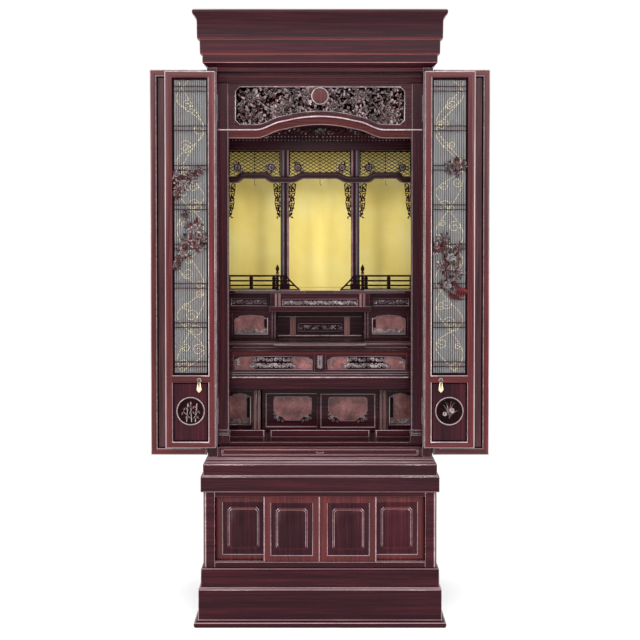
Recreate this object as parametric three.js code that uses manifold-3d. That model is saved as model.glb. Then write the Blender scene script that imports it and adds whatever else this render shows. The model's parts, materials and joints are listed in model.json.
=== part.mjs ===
// Household altar cabinet: a rosewood cabinet that stands on the floor. Below are four sliding doors, above
// a tiered altar hall behind double folding doors: solid outer leaves and latticed inner leaves, all open.
// Millimetres, +Z up, +X to the right as one faces the cabinet from -Y. The origin is the middle of the
// base, on the floor. Every function below works in cabinet depths: 0 at the front face of the corner
// posts, growing into the cabinet. The last group moves the whole back to the origin.

import * as THREE from 'three';
import { mergeVertices } from 'three/addons/utils/BufferGeometryUtils.js';
import Module from 'manifold-3d';

const wasm = await Module();
wasm.setup();

// ---- driving dimensions ----

const GAP = 0.3; // left between pieces that touch
const BACK = 450; // depth of the back edge
const MIDDLE_DEPTH = 200; // depth of the origin: halfway from the door pulls to the back

const BODY = 275; // half width over the corner posts of the upper cabinet
const LOWER_BODY = 285; // half width of the lower cabinet
const LOWER_FRONT = -10; // its front face
const POST = 25; // width of a corner post
const STILE_INNER = 223.7; // half width of the altar opening
const WALL = 262; // inner face of the side boards

const PLINTH_TOP = 142.5;
const LOWER_TOP = 328;
const LEDGE_TOP = 411.7;
const FLOOR_TOP = 445; // floor of the altar hall
const STILE_TOP = 1324.4; // top of the front stiles and of the arch board
const ROOF_TOP = 1360.4;
const HEIGHT = 1498;

const FIELD = 0.3; // how far a carved field stands from the board round it

// depths of the altar's own planes
const ARCH_DEPTH = 28;
const STEP_DEPTH = 100;
const MIDDLE_ROW_DEPTH = 170;
const HALL_FRONT = 150;
const CUPBOARD_DEPTH = 190;
const COLUMN_DEPTH = 196.5;
const SCREEN_DEPTH = 338;

// heights of the altar's tiers
const CUPBOARD_TOP = 553.3;
const FASCIA_BOTTOM = 567;
const BAND_TOP = 673;
const STEP_TOP = 686;
const HALL_FLOOR = 812;
const BEAM_TOP = 1115;
const HALL_TOP = 1171;

const COLUMN = [80, 102]; // near and far side of a column from the middle

// folding doors: the pins stand upright at these places
const OUTER_PIN = { x: 276.5, y: -1.5 };
const LATTICE_PIN = { x: 249, y: 0 };
const OUTER_DOOR = { bottom: 416.5, top: 1356.7, thick: 22 };
const LATTICE_DOOR = { bottom: 440.4, top: 1348.1, thick: 20, stile: 18, rail: 16 };
const MID_RAIL = [599.3, 616.2];
const BAR_PAIRS = { count: 8, first: 643.3, pitch: 94.7, apart: 11.2, width: 2.4 };
const MEDALLION = { z: 530.5, radius: 35 };
const PULL = { x: 291, bottom: 576, height: 35, flatten: 2.3 }; // flatten: how much wider it is than deep

// ---- finishes ----

const ROSEWOOD = { color: 0x45201f, roughness: 0.28, metalness: 0.0 };
const BURL = { color: 0x6b2d26, roughness: 0.3, metalness: 0.0 };
const GOLD = { color: 0xe3c878, roughness: 0.35, metalness: 0.6 };
const GAUZE = { color: 0xa09a86, roughness: 0.8, metalness: 0.0 };
const PULL_METAL = { color: 0xcdb98a, roughness: 0.3, metalness: 0.9 };

// ---- making solids ----

const X = new THREE.Vector3(1, 0, 0);
const Y = new THREE.Vector3(0, 1, 0);
const Z = new THREE.Vector3(0, 0, 1);

function solidOf(geometry) {
  const bare = geometry.clone();
  bare.deleteAttribute('normal');
  bare.deleteAttribute('uv');
  const merged = mergeVertices(bare, 1e-4);
  return new wasm.Manifold(new wasm.Mesh({
    numProp: 3,
    vertProperties: new Float32Array(merged.attributes.position.array),
    triVerts: new Uint32Array(merged.index.array),
  }));
}

const join = (first, ...others) => others.reduce((sum, other) => sum.add(other), first);
const cut = (first, ...others) => others.reduce((rest, other) => rest.subtract(other), first);

// a box from the ranges of x, depth and height, given in either order
function block(xs, ys, zs) {
  const [size, centre] = [xs, ys, zs].reduce(([sizes, centres], [a, b]) => [
    [...sizes, Math.abs(b - a)],
    [...centres, (a + b) / 2],
  ], [[], []]);
  return solidOf(new THREE.BoxGeometry(...size).translate(...centre));
}

const range = (count, value) => Array.from({ length: count }, (_, i) => value(i));
const points = (pairs) => pairs.map(([a, b]) => new THREE.Vector2(a, b));
const outline = (pairs) => new THREE.Shape(points(pairs));
const path = (shape) => (shape instanceof THREE.Shape ? shape : outline(shape));

function extruded(shape, depth, curveSegments = 6) {
  return new THREE.ExtrudeGeometry(path(shape), { depth, curveSegments, bevelEnabled: false });
}

// a face drawn in x and height, as thick as the depths say
function facing(shape, [near, far], curveSegments) {
  const geometry = extruded(shape, far - near, curveSegments);
  geometry.applyMatrix4(new THREE.Matrix4().makeBasis(X, Z, Y.clone().negate()));
  return solidOf(geometry.translate(0, far, 0));
}

// a profile drawn in depth and height, run from one x to the other
function alongX(shape, [from, to]) {
  const geometry = extruded(shape, Math.abs(to - from));
  geometry.applyMatrix4(new THREE.Matrix4().makeBasis(Y, Z, X));
  return solidOf(geometry.translate(Math.min(from, to), 0, 0));
}

// a plan drawn in x and depth, run upwards
function upright(shape, [bottom, top]) {
  return solidOf(extruded(shape, top - bottom).translate(0, 0, bottom));
}

// a body whose front and two sides carry one moulding, given as heights and how far it stands out there
function moulded(profile, halfWidth, front) {
  const reach = 60;
  const right = profile.map(([z, out]) => [halfWidth + out, z]);
  const left = profile.map(([z, out]) => [-halfWidth - out, z]).reverse();
  const face = profile.map(([z, out]) => [front - out, z]);
  const [bottom, top] = [profile[0][0], profile[profile.length - 1][0]];
  const sides = facing([...right, ...left], [front - reach, BACK]);
  const ends = [-halfWidth - reach, halfWidth + reach];
  return sides.intersect(alongX([...face, [BACK, top], [BACK, bottom]], ends));
}

function chamfered([x0, x1], [z0, z1], c) {
  const [a, b] = [Math.min(x0, x1), Math.max(x0, x1)];
  const foot = [[a + c, z0], [b - c, z0], [b, z0 + c]];
  const head = [[b, z1 - c], [b - c, z1], [a + c, z1], [a, z1 - c]];
  return [...foot, ...head, [a, z0 + c]];
}

// a window with upright sides, stepped shoulders and a brace-shaped head, as altar furniture has
function cusped([x0, x1], [z0, z1], end) {
  const [a, b] = [Math.min(x0, x1), Math.max(x0, x1)];
  const shoulder = [[0, 1.15], [0.25, 0.8], [0.8, 0.66], [1.1, 0.32], [1.9, 0.2]];
  const left = shoulder.map(([x, down]) => [a + x * end, z1 - down * end]);
  const right = shoulder.map(([x, down]) => [b - x * end, z1 - down * end]).reverse();
  return [[a, z0], ...left, [(a + b) / 2, z1], ...right, [b, z0]];
}

function discOutline(x, z, radius, sides) {
  return range(sides, (i) => {
    const turn = (2 * Math.PI * i) / sides;
    return [x + radius * Math.cos(turn), z + radius * Math.sin(turn)];
  });
}

// a low turned form whose rim goes in and out, its top towards the viewer; the profile gives radius and height
function lobed(x, depth, z, profile, lobes, bite) {
  const geometry = new THREE.LatheGeometry(points(profile), lobes * 2);
  const place = geometry.attributes.position;
  for (let i = 0; i < place.count; i += 1) {
    const turn = Math.atan2(place.getX(i), place.getZ(i));
    const reach = 1 - (bite / 2) * (1 - Math.cos(lobes * turn));
    place.setX(i, place.getX(i) * reach);
    place.setZ(i, place.getZ(i) * reach);
  }
  return solidOf(geometry.rotateX(Math.PI).translate(x, depth, z));
}

function flower(x, face, z, radius, height, petals = 5) {
  const profile = [[0, -1], [1, -0.3], [0.55, 1], [0, 0.5]].map(([r, h]) => [r * radius, (h * height) / 2]);
  return lobed(x, face + height / 2, z, profile, petals, 0.2);
}

// a leaf: a pointed oval with a ridge on each face
function leaf(x, depth, z, length, width, thick, turn) {
  const geometry = new THREE.OctahedronGeometry(1).scale(width / 2, thick / 2, length / 2);
  return solidOf(geometry.rotateY(turn).translate(x, depth, z));
}

// a flower on a ring of pointed leaves
function spray(x, face, z, radius, height, leaves) {
  const profile = [[0, -0.4], [1, 0], [0, 0.4]].map(([r, h]) => [r * radius * 2, h * height]);
  return join(flower(x, face, z, radius, height), lobed(x, face + height * 0.6, z, profile, leaves, 0.6));
}

// ---- the group ----

const cabinet = new THREE.Group();
cabinet.position.y = -MIDDLE_DEPTH;

function piece(name, body, finish) {
  const mesh = body.getMesh();
  const geometry = new THREE.BufferGeometry();
  geometry.setAttribute('position', new THREE.BufferAttribute(new Float32Array(mesh.vertProperties), 3));
  geometry.setIndex(new THREE.BufferAttribute(new Uint32Array(mesh.triVerts), 1));
  geometry.computeVertexNormals();
  const made = new THREE.Mesh(geometry, new THREE.MeshStandardMaterial(finish));
  made.name = name;
  cabinet.add(made);
}

const SIDES = [['left', -1], ['right', 1]];

// ---- the lower cabinet ----

function makePlinth() {
  const profile = [
    [0, 19], [3, 21.5], [8, 22.5], [12.5, 21.5], [15.3, 18], [17, 12], [19, 11.5],
    [91, 11.5], [93.4, 9.5], [94.5, 6], [139, 5.6], [141, 4.5], [PLINTH_TOP, 0],
  ];
  const hollow = block([-WALL, WALL], [30, BACK - 20], [-1, PLINTH_TOP + 1]);
  piece('plinth', cut(moulded(profile, LOWER_BODY, LOWER_FRONT), hollow), ROSEWOOD);
}

function makeLowerCarcass() {
  const zs = [PLINTH_TOP + GAP, LOWER_TOP - GAP];
  piece('lower_floor', block([-267.5, 267.5], [22.5, 437.5], [zs[0], zs[0] + 8]), ROSEWOOD);
  piece('lower_back', block([-261.5, 261.5], [438, 448], [zs[0], zs[1]]), ROSEWOOD);
  for (const [side, s] of SIDES) {
    const edge = [[268, 22.3], [280, 22.3], [280, 420], [LOWER_BODY, 424]];
    const plan = [...edge, [LOWER_BODY, BACK], [WALL, BACK], [WALL, 438], [268, 438]];
    piece(`lower_side_${side}`, upright(plan.map(([x, y]) => [s * x, y]), zs), ROSEWOOD);
  }
}

const DOOR_OPENING = { half: 257, bottom: 155.5, top: 315.5 };
const TRACKS = { front: [-5, 4.5], rear: [7, 16.5] };

function makeLowerFrontFrame() {
  const zs = [PLINTH_TOP + GAP, LOWER_TOP - GAP];
  const round = 7;
  const corner = (s) => range(4, (i) => {
    const turn = (Math.PI / 6) * i;
    const [cx, cy] = [LOWER_BODY - round, LOWER_FRONT + round];
    return [s * (cx + round * Math.cos(turn)), cy - round * Math.sin(turn)];
  });
  const plan = [[LOWER_BODY, 22], ...corner(1), ...corner(-1).reverse(), [-LOWER_BODY, 22]];
  const { half, bottom, top } = DOOR_OPENING;
  const opening = block([-half, half], [-20, 30], [bottom, top]);
  const setBack = block([-half, half], [-20, LOWER_FRONT + 3], [zs[0] - 1, zs[1] + 1]);
  const grooves = Object.values(TRACKS).map(([near, far]) => (
    block([-half, half], [near - 0.6, far + 0.6], [bottom - 3, top + 3])
  ));
  piece('lower_front_frame', cut(upright(plan, zs), opening, setBack, ...grooves), ROSEWOOD);
}

function slidingDoor(xs, [near, far], zs, margin, chamfer) {
  const inset = (m) => [[Math.min(...xs) + m, Math.max(...xs) - m], [zs[0] + m, zs[1] - m]];
  const board = block(xs, [near, far], zs);
  const pocket = facing(chamfered(...inset(margin), chamfer), [near - 1, near + 2.4]);
  const field = facing(chamfered(...inset(margin + 5), chamfer * 0.8), [near + 0.8, near + 3]);
  return join(cut(board, pocket), field);
}

function makeLowerDoors() {
  const zs = [DOOR_OPENING.bottom - 2.2, DOOR_OPENING.top + 2.2];
  const doors = [
    ['lower_door_far_left', [-256.7, -119], TRACKS.rear],
    ['lower_door_left', [-138, -GAP], TRACKS.front],
    ['lower_door_right', [GAP, 138], TRACKS.front],
    ['lower_door_far_right', [119, 256.7], TRACKS.rear],
  ];
  for (const [name, xs, track] of doors) {
    piece(name, slidingDoor(xs, track, zs, 13, 9), ROSEWOOD);
  }
}

function makeLedge() {
  const profile = [
    [LOWER_TOP, 4.5], [329.4, 6.2], [367, 6.2], [368.5, 0.6], [395.5, 0.6], [396.5, -2.4],
    [401, -2.8], [402, -5.6], [407, -6.2], [408, -9.4], [LEDGE_TOP, -10],
  ];
  const hollow = block([-WALL, WALL], [30, BACK - 20], [LOWER_TOP - 1, 397]);
  piece('ledge', cut(moulded(profile, LOWER_BODY, LOWER_FRONT), hollow), ROSEWOOD);
}

// ---- the upper cabinet ----

function makePosts() {
  const zs = [LEDGE_TOP + GAP, ROOF_TOP];
  const round = 8;
  for (const [side, s] of SIDES) {
    const corner = range(4, (i) => {
      const turn = (Math.PI / 6) * i;
      return [BODY - round + round * Math.cos(turn), round - round * Math.sin(turn)];
    });
    const plan = [[BODY, 24], ...corner, [BODY - POST, 0], [BODY - POST, 24]];
    piece(`corner_post_${side}`, upright(plan.map(([x, y]) => [s * x, y]), zs), ROSEWOOD);

    const [inner, outer] = [STILE_INNER, BODY - POST];
    const stile = [[inner + 2, 24.5], [outer, 24.5], [outer, 44], [inner, 44], [inner, 26.5]];
    const shaft = upright(stile.map(([x, y]) => [s * x, y]), [FLOOR_TOP + GAP, STILE_TOP]);
    const foot = [[inner - 2, 22.6], [outer, 22.6], [outer, 44], [inner - 2, 44]];
    const collar = foot.map(([x, y]) => [s * (x + (x < outer ? 1 : 0)), Math.max(y, 23.5)]);
    piece(`front_stile_${side}`, join(
      shaft,
      upright(foot.map(([x, y]) => [s * x, y]), [FLOOR_TOP + GAP, 462]),
      upright(collar, [464, 467]),
      upright(collar, [473, 475]),
    ), ROSEWOOD);
  }
}

function makeUpperCarcass() {
  for (const [side, s] of SIDES) {
    const edge = [[WALL, 24.6], [273, 24.6], [273, 424], [BODY, 427]];
    const plan = [...edge, [BODY, BACK], [254, BACK], [254, 440], [WALL, 440]];
    piece(`side_${side}`, upright(plan.map(([x, y]) => [s * x, y]), [LEDGE_TOP + GAP, ROOF_TOP]), ROSEWOOD);
  }
  piece('upper_back', block([-253.5, 253.5], [440.3, 448], [LEDGE_TOP + GAP, ROOF_TOP]), ROSEWOOD);
  piece('upper_floor', block([-261.5, 261.5], [24.8, 439.7], [437.3, FLOOR_TOP]), ROSEWOOD);
  piece('roof', block([-261.5, 261.5], [44.6, 439.7], [1350, ROOF_TOP]), ROSEWOOD);
}

function makePullOutBoard() {
  const board = chamfered([-248, 248], [LEDGE_TOP + 0.8, 436.6], 2.5);
  const hollow = block([-236, 236], [12, 371], [LEDGE_TOP, 430]);
  const channel = cut(
    facing(chamfered([-240, 240], [417, 432], 2), [1, 3.4]),
    facing(chamfered([-237, 237], [419.5, 429.5], 2), [1, 3.4]),
  );
  const pull = facing(chamfered([-9, 9], [422, 427], 2), [1, 3.4]);
  piece('pull_out_board', cut(facing(board, [2, 380]), hollow, channel, pull), ROSEWOOD);
}

function makeCornice() {
  const profile = [
    [ROOF_TOP + GAP, -3], [1371.7, 9.6], [1391.5, 9.9], [1392.8, 15.2], [1427, 16], [1428.5, 21.6],
    [1470, 22.4], [1476, 23.4], [1482, 26.4], [1485.5, 31], [1488, 32.4], [1492, 33], [1496, 32], [HEIGHT, 29],
  ];
  const hollow = block([-WALL, WALL], [30, BACK - 20], [ROOF_TOP - 1, 1486]);
  piece('cornice', cut(moulded(profile, BODY, 0), hollow), ROSEWOOD);
}

function makeFriezeRail() {
  const profile = [
    [44, 1324.7], [28, 1324.7], [25, 1328], [24.6, 1336], [26, 1338], [24.6, 1340], [24.6, 1349.6],
    [6, 1349.6], [3, 1352.5], [3, 1356], [1.5, 1358], [1.5, ROOF_TOP], [44, ROOF_TOP],
  ];
  piece('frieze_rail', alongX(profile, [-249.7, 249.7]), ROSEWOOD);
}

// ---- the arch under the carved transom ----

const ARCH = { side: 1212, cusp: 1233, crown: 1245, cuspAt: 89, sideAt: 156, border: 21 };

function archHeight(x) {
  const away = Math.abs(x);
  if (away >= ARCH.sideAt) return ARCH.side;
  if (away >= ARCH.cuspAt) {
    const u = (ARCH.sideAt - away) / (ARCH.sideAt - ARCH.cuspAt);
    return ARCH.side + (ARCH.cusp - ARCH.side) * u * u * (3 - 2 * u);
  }
  return ARCH.cusp + (ARCH.crown - ARCH.cusp) * (1 - (away / ARCH.cuspAt) ** 2);
}

// the arch's line from left to right, moved up or down
const archLine = (half, shift, steps = 24) => range(steps + 1, (i) => {
  const x = -half + (2 * half * i) / steps;
  return [x, archHeight(x) + shift];
});

const TRANSOM = { half: 209, top: 1319.5, chamfer: 12, above: 10, disc: { z: 1295, radius: 20 } };

function transomOutline(inset) {
  const half = TRANSOM.half - inset;
  const top = TRANSOM.top - inset;
  return [
    ...archLine(half, TRANSOM.above + inset, 12),
    [half, top - TRANSOM.chamfer], [half - TRANSOM.chamfer, top],
    [TRANSOM.chamfer - half, top], [-half, top - TRANSOM.chamfer],
  ];
}

function makeArchBoard() {
  const half = STILE_INNER - GAP;
  const head = [[half, STILE_TOP], [-half, STILE_TOP]];
  const board = facing([...archLine(half, -ARCH.border), ...head], [ARCH_DEPTH, 40]);
  const bead = facing([...archLine(half, -1.5), ...archLine(half, 1.5).reverse()], [26, ARCH_DEPTH + 1]);
  piece('arch_board', join(cut(board, facing(transomOutline(0), [20, 50])), bead), ROSEWOOD);
}

// openwork: a waving branch with flowers on its bends, clouds and leaves between, and a plain disc
function makeTransomCarving() {
  const [near, far] = [ARCH_DEPTH + 1, 39];
  const rim = cut(facing(transomOutline(FIELD), [near + 3, far]), facing(transomOutline(5), [near, far + 1]));
  const bends = 6;
  const half = TRANSOM.half - 4;
  const span = (2 * half) / bends;
  const waveHeight = (x) => {
    const floor = archHeight(x) + TRANSOM.above;
    return (floor + TRANSOM.top) / 2 + 0.22 * (TRANSOM.top - floor) * Math.sin((Math.PI * (x + half)) / span);
  };
  const wave = range(17, (i) => {
    const x = -half + (2 * half * i) / 16;
    return [x, waveHeight(x)];
  });
  const branch = facing([
    ...wave.map(([x, z]) => [x, z - 3]),
    ...wave.map(([x, z]) => [x, z + 3]).reverse(),
  ], [near + 4, far - 1]);
  const flowers = range(bends, (i) => {
    const x = -half + span * (i + 0.5);
    return flower(x, near, waveHeight(x), 23, far - near - 1.5);
  });
  const leaves = range(bends + 1, (i) => {
    const x = -half + span * i;
    const low = archHeight(x) + TRANSOM.above;
    const [middle, tall] = [(low + TRANSOM.top) / 2, TRANSOM.top - low];
    return leaf(x, (near + far) / 2, middle, tall, 22, far - near - 2, i % 2 ? 0.5 : -0.5);
  });
  const { z, radius } = TRANSOM.disc;
  const round = (r, depths) => facing(discOutline(0, z, r, 14), depths);
  const ring = cut(round(radius, [near - 1, far]), round(radius - 4, [near - 2, far + 1]));
  const disc = join(round(radius, [near + 2, far]), ring);
  const whole = join(rim, branch, ...flowers, ...leaves, disc);
  piece('transom_carving', whole.intersect(facing(transomOutline(FIELD), [near - 2, far + 1])), ROSEWOOD);
}

// ---- the altar hall ----

function makeCrestBeam() {
  const beam = block([-WALL + 0.5, WALL - 0.5], [186, 206], [HALL_TOP + GAP, 1192]);
  const board = block([-WALL + 0.5, WALL - 0.5], [194, 204], [1191, 1234]);
  const crest = range(3, (i) => flower(-140 + 140 * i, 189, 1212, 19, 12));
  const swirls = range(4, (i) => leaf(-210 + 140 * i, 194, 1212, 76, 24, 9, i % 2 ? 1.3 : -1.3));
  piece('crest_beam', join(beam, board, ...crest, ...swirls), ROSEWOOD);
}

function makeColumns() {
  for (const [side, s] of SIDES) {
    const [a, b] = COLUMN;
    const [near, far, c, mid] = [COLUMN_DEPTH, COLUMN_DEPTH + 22, 5, (COLUMN[0] + COLUMN[1]) / 2];
    const plan = [
      [a + c, near], [mid - 2, near], [mid, near + 1.5], [mid + 2, near], [b - c, near], [b, near + c],
      [b, far - c], [b - c, far], [a + c, far], [a, far - c], [a, near + c],
    ];
    const shaft = upright(plan.map(([x, y]) => [s * x, y]), [HALL_FLOOR + GAP, HALL_TOP]);
    const foot = block([s * (a - 2), s * (b + 2)], [near - 2, far + 2], [HALL_FLOOR + GAP, HALL_FLOOR + 14]);
    piece(`palace_column_${side}`, join(shaft, foot), ROSEWOOD);
  }
}

// a row of diamond holes in a plate between two x, over two heights
function diamonds([x0, x1], [z0, z1], pitch) {
  const columns = Math.max(1, Math.floor((x1 - x0) / pitch));
  const wide = (x1 - x0) / columns;
  const tall = (z1 - z0) / 2;
  const holes = range(columns * 2, (i) => {
    const [x, z] = [x0 + wide * ((i % columns) + 0.5), z0 + tall * (Math.floor(i / columns) + 0.5)];
    return [x, z];
  });
  const [w, h] = [wide / 2 - 1.6, tall / 2 - 1.6];
  return holes.map(([x, z]) => facing([[x - w, z], [x, z - h], [x + w, z], [x, z + h]], [180, 230]));
}

// the rainbow beam's rise above its low ends, by how far x is from the middle of its bay
function rainbow(x, { middle, flat, slope }, rise) {
  const down = Math.min(1, Math.max(0, (Math.abs(x - middle) - flat) / slope));
  return rise * (1 - down * down * (3 - 2 * down));
}

// one bay between columns: diamond lattice over a rainbow beam, with scrolled brackets hanging from it.
// The carving keeps between the two x of `shown`; the plate and the beam run on to the bay's own ends.
function makeBay(name, [x0, x1], [beam0, beam1], shown, arch) {
  const [near, far] = [COLUMN_DEPTH - 12, COLUMN_DEPTH - 0.5];
  const { middle } = arch;
  const fields = [[shown[0] + 4, middle - 2], [middle + 2, shown[1] - 4]];
  const holes = fields.flatMap((field) => diamonds(field, [BEAM_TOP + 5, HALL_TOP - 5], 26));
  const latticeDepths = [COLUMN_DEPTH + 1, COLUMN_DEPTH + 8];
  const lattice = cut(block([x0, x1], latticeDepths, [BEAM_TOP - 8, HALL_TOP - GAP]), ...holes);
  const stations = range(17, (i) => beam0 + ((beam1 - beam0) * i) / 16);
  const under = stations.map((x) => [x, 1080 + rainbow(x, arch, 16)]);
  const over = stations.map((x) => [x, BEAM_TOP - 12 + rainbow(x, arch, 12)]).reverse();
  const beam = facing([...under, ...over], [near, far]);
  const tie = block([x0 + 1, x1 - 1], [far - 1, COLUMN_DEPTH + 2], [BEAM_TOP - 10, BEAM_TOP - 5]);
  const parts = shown.flatMap((x, i) => {
    const inward = i === 0 ? 1 : -1;
    const at = ([dx, dz]) => [x + inward * dx, 1086 - dz];
    const edge = [[24, 0], [20, 14], [23, 25], [17, 38], [19, 50], [13, 62], [14, 72], [8, 84]];
    const bracket = facing([[0.5, 0], ...edge, [0.5, 84]].map(at), [near + 4, far - 1]);
    const eye = (dx, dz, r) => facing(discOutline(...at([dx, dz]), r, 5), [near, far + 1]);
    const carved = cut(bracket, eye(10, 20, 5.5), eye(8, 50, 4.5));
    return [carved, flower(x + inward * 23, near - 3, BEAM_TOP + 11, 17, 18)];
  });
  const hook = block([middle - 1.5, middle + 1.5], [near + 3, near + 6], [1080, 1100]);
  piece(name, join(lattice, beam, tie, ...parts, hook), ROSEWOOD);
}

function makeHall() {
  const seam = (COLUMN[0] + COLUMN[1]) / 2;
  const side = WALL - 0.5;
  const [inner, outer] = [COLUMN[0] - GAP, COLUMN[1] + GAP];
  const carvingEnd = 235;
  const sideArch = (s) => ({ middle: s * 168.6, flat: 27.5, slope: 19 });
  makeBay('bay_left', [-side, -outer], [-side, -seam - GAP], [-carvingEnd, -outer], sideArch(-1));
  makeBay('bay_centre', [-inner, inner], [-seam, seam], [-inner, inner], { middle: 0, flat: 41, slope: 31 });
  makeBay('bay_right', [outer, side], [seam + GAP, side], [outer, carvingEnd], sideArch(1));
  piece('gold_screen', block([-side, side], [SCREEN_DEPTH, SCREEN_DEPTH + 6], [HALL_FLOOR + GAP, 1340]), GOLD);
  const floor = block([-side, side], [HALL_FRONT, 439.7], [805, HALL_FLOOR]);
  const notch = block([-38.5, 38.5], [HALL_FRONT - 1, HALL_FRONT + 8], [800, HALL_FLOOR + 1]);
  piece('hall_floor', cut(floor, notch), ROSEWOOD);
}

// the railing turned towards the middle: where each of its rails ends, and its height
const WING = [[54, 814.2], [65, 825], [76, 836.5], [86, 849]];

function makeRailings() {
  const depth = [168, 172];
  const base = HALL_FLOOR + GAP;
  const newel = 109;
  for (const [side, s] of SIDES) {
    const end = WALL - 0.6;
    const rails = [[base, base + 4], [823, 826], [834.5, 837.5], [847, 851]].map((zs) => (
      block([s * (newel - 1), s * end], depth, zs)
    ));
    const struts = [118, 176, 234].map((x) => (
      block([s * (x - 4.5), s * (x + 4.5)], [165.5, 174.5], [base, 850])
    ));
    const post = block([s * (newel - 4), s * (newel + 4)], [166, 174], [base, 856]);
    const bud = points([[0, 0], [3, 0], [4.6, 2], [2.4, 4.5], [5, 8], [5.6, 12], [3.6, 17], [0, 23]]);
    const finial = solidOf(new THREE.LatheGeometry(bud, 8).rotateX(Math.PI / 2).translate(s * newel, 170, 855));
    const wing = WING.map(([x, z]) => block([s * newel, s * x], [160, 164], [z - 1.6, z + 1.6]));
    const [[footX, footZ], [headX, headZ]] = [WING[0], WING[WING.length - 1]];
    const slope = facing([
      [s * footX, footZ - 1.8], [s * (footX - 4), footZ - 1.8],
      [s * headX, headZ + 1.6], [s * (headX + 4), headZ + 1.6],
    ], [159, 165]);
    const link = block([s * (newel - 4), s * (newel + 4)], [159, 168], [base, 851]);
    const made = join(post, finial, ...rails, ...struts, ...wing, slope, link);
    piece(`railing_${side}`, made, ROSEWOOD);
  }
}

// ---- the tiers under the hall ----

const TIER_HALF = WALL - 0.5;

function reliefStrip([x0, x1], [z0, z1], face) {
  const count = Math.max(2, Math.round((x1 - x0) / 22));
  const pitch = (x1 - x0) / count;
  return range(count, (i) => (
    leaf(x0 + pitch * (i + 0.5), face, (z0 + z1) / 2, pitch * 1.25, (z1 - z0) * 0.62, 5, i % 2 ? 1.2 : -1.2)
  ));
}

function makeReliefCasing() {
  const [bottom, top] = [758.5, 804.7];
  const [side, centre] = [HALL_FRONT + 30, HALL_FRONT + 2];
  const wide = block([-TIER_HALF, TIER_HALF], [side, side + 12], [bottom, top]);
  const front = block([-126, 126], [centre, side + 2], [bottom, top]);
  const hollow = block([-116, 116], [centre + 10, side + 13], [bottom - 1, top + 1]);
  const pocket = (xs, face) => block(xs, [face - 1, face + 2.5], [772, 790]);
  const base = [
    block([-TIER_HALF, TIER_HALF], [side - 4, side + 2], [bottom, 771]),
    block([-130, 130], [centre - 4, side - 1], [bottom, 771]),
  ];
  const body = cut(
    join(wide, front, ...base),
    hollow,
    pocket([-95, 95], centre),
    ...SIDES.map(([, s]) => pocket([s * 138, s * 228], side)),
  );
  const relief = [
    ...reliefStrip([-95, 95], [772, 790], centre + 3),
    ...SIDES.flatMap(([, s]) => reliefStrip(s < 0 ? [-228, -138] : [138, 228], [772, 790], side + 3)),
  ];
  const posts = SIDES.flatMap(([, s]) => [101, 110].map((x) => (
    block([s * x, s * (x + 5)], [centre - 3, centre + 1], [770, top])
  )));
  piece('relief_casing', join(body, ...relief, ...posts), ROSEWOOD);
}

function makeMiddleRow() {
  const [bottom, top] = [STEP_TOP + GAP, 758.2];
  const [near, far] = [MIDDLE_ROW_DEPTH, MIDDLE_ROW_DEPTH + 12];
  const deep = MIDDLE_ROW_DEPTH + 60;
  const parts = SIDES.flatMap(([, s]) => {
    const wing = cut(
      block([s * 114, s * TIER_HALF], [near, far], [bottom, top]),
      facing(cusped([s * 134, s * 219], [bottom + 13, top - 10], 11), [near - 1, near + 4]),
      facing(chamfered([s * 128, s * 225], [bottom + 6, top - 4], 2), [near - 1, near + 1.5]),
    );
    const post = block([s * 114, s * 124], [near - 3, near + 1], [bottom, top]);
    return [wing, post, block([s * 114, s * 122], [near + 1, deep + 10], [bottom, top])];
  });
  const back = block([-118, 118], [deep, deep + 10], [bottom, top]);
  const lines = [[738, 743], [bottom, bottom + 6]].map((zs) => block([-116, 116], [deep - 5, deep + 1], zs));
  const strip = block([-55, 55], [deep - 6, deep + 1], [703.5, 722]);
  const relief = reliefStrip([-55, 55], [703.5, 722], deep - 7);
  const studs = SIDES.map(([, s]) => block([s * 63, s * 78], [deep - 7, deep + 1], [bottom + 5, 740]));
  piece('middle_row', join(...parts, back, ...lines, strip, ...relief, ...studs), ROSEWOOD);
}

function makeStep() {
  const edge = (front) => [
    [front + 3, BAND_TOP + GAP], [439.7, BAND_TOP + GAP], [439.7, STEP_TOP], [front + 3, STEP_TOP],
    [front, STEP_TOP - 4], [front, STEP_TOP - 8],
  ];
  const board = alongX(edge(STEP_DEPTH), [-TIER_HALF, TIER_HALF]);
  const apron = alongX(edge(STEP_DEPTH - 20), [-114.5, 114.5]);
  piece('step_board', join(board, apron), ROSEWOOD);
}

function makeDrawerBand() {
  const face = STEP_DEPTH + 10;
  const profile = [
    [face - 6, FASCIA_BOTTOM], [face - 6, 592], [face - 9, 593.6], [face - 10, 597.5], [face - 6, 598.5],
    [face - 6, 602], [face - 2, 603], [face - 2, 607.5], [face, 608.5], [face, 658], [face - 4, 660],
    [face - 4, 664], [face - 2, 665], [face - 4, 666], [face - 4, 670], [face, BAND_TOP],
    [face + 12, BAND_TOP], [face + 12, FASCIA_BOTTOM],
  ];
  const front = alongX(profile, [-TIER_HALF, TIER_HALF]);
  const under = block([-TIER_HALF, TIER_HALF], [face + 10, 439.7], [FASCIA_BOTTOM, 575]);
  const lintelDepths = [CUPBOARD_DEPTH - 4, CUPBOARD_DEPTH + 22];
  const lintel = block([-TIER_HALF, TIER_HALF], lintelDepths, [CUPBOARD_TOP + GAP, 568]);
  const windows = SIDES.flatMap(([, s]) => [
    facing(chamfered([s * 14, s * 219], [610.5, 653], 2), [face - 1, face + 1.5]),
    facing(cusped([s * 19, s * 215], [615, 648], 10), [face, face + 5]),
  ]);
  const ornament = [1, -1].map((s) => leaf(0, face + 1, 633, 42, 12, 8, 0.25 * s));
  piece('drawer_band', join(cut(front, ...windows), under, lintel, ...ornament), ROSEWOOD);
}

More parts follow.
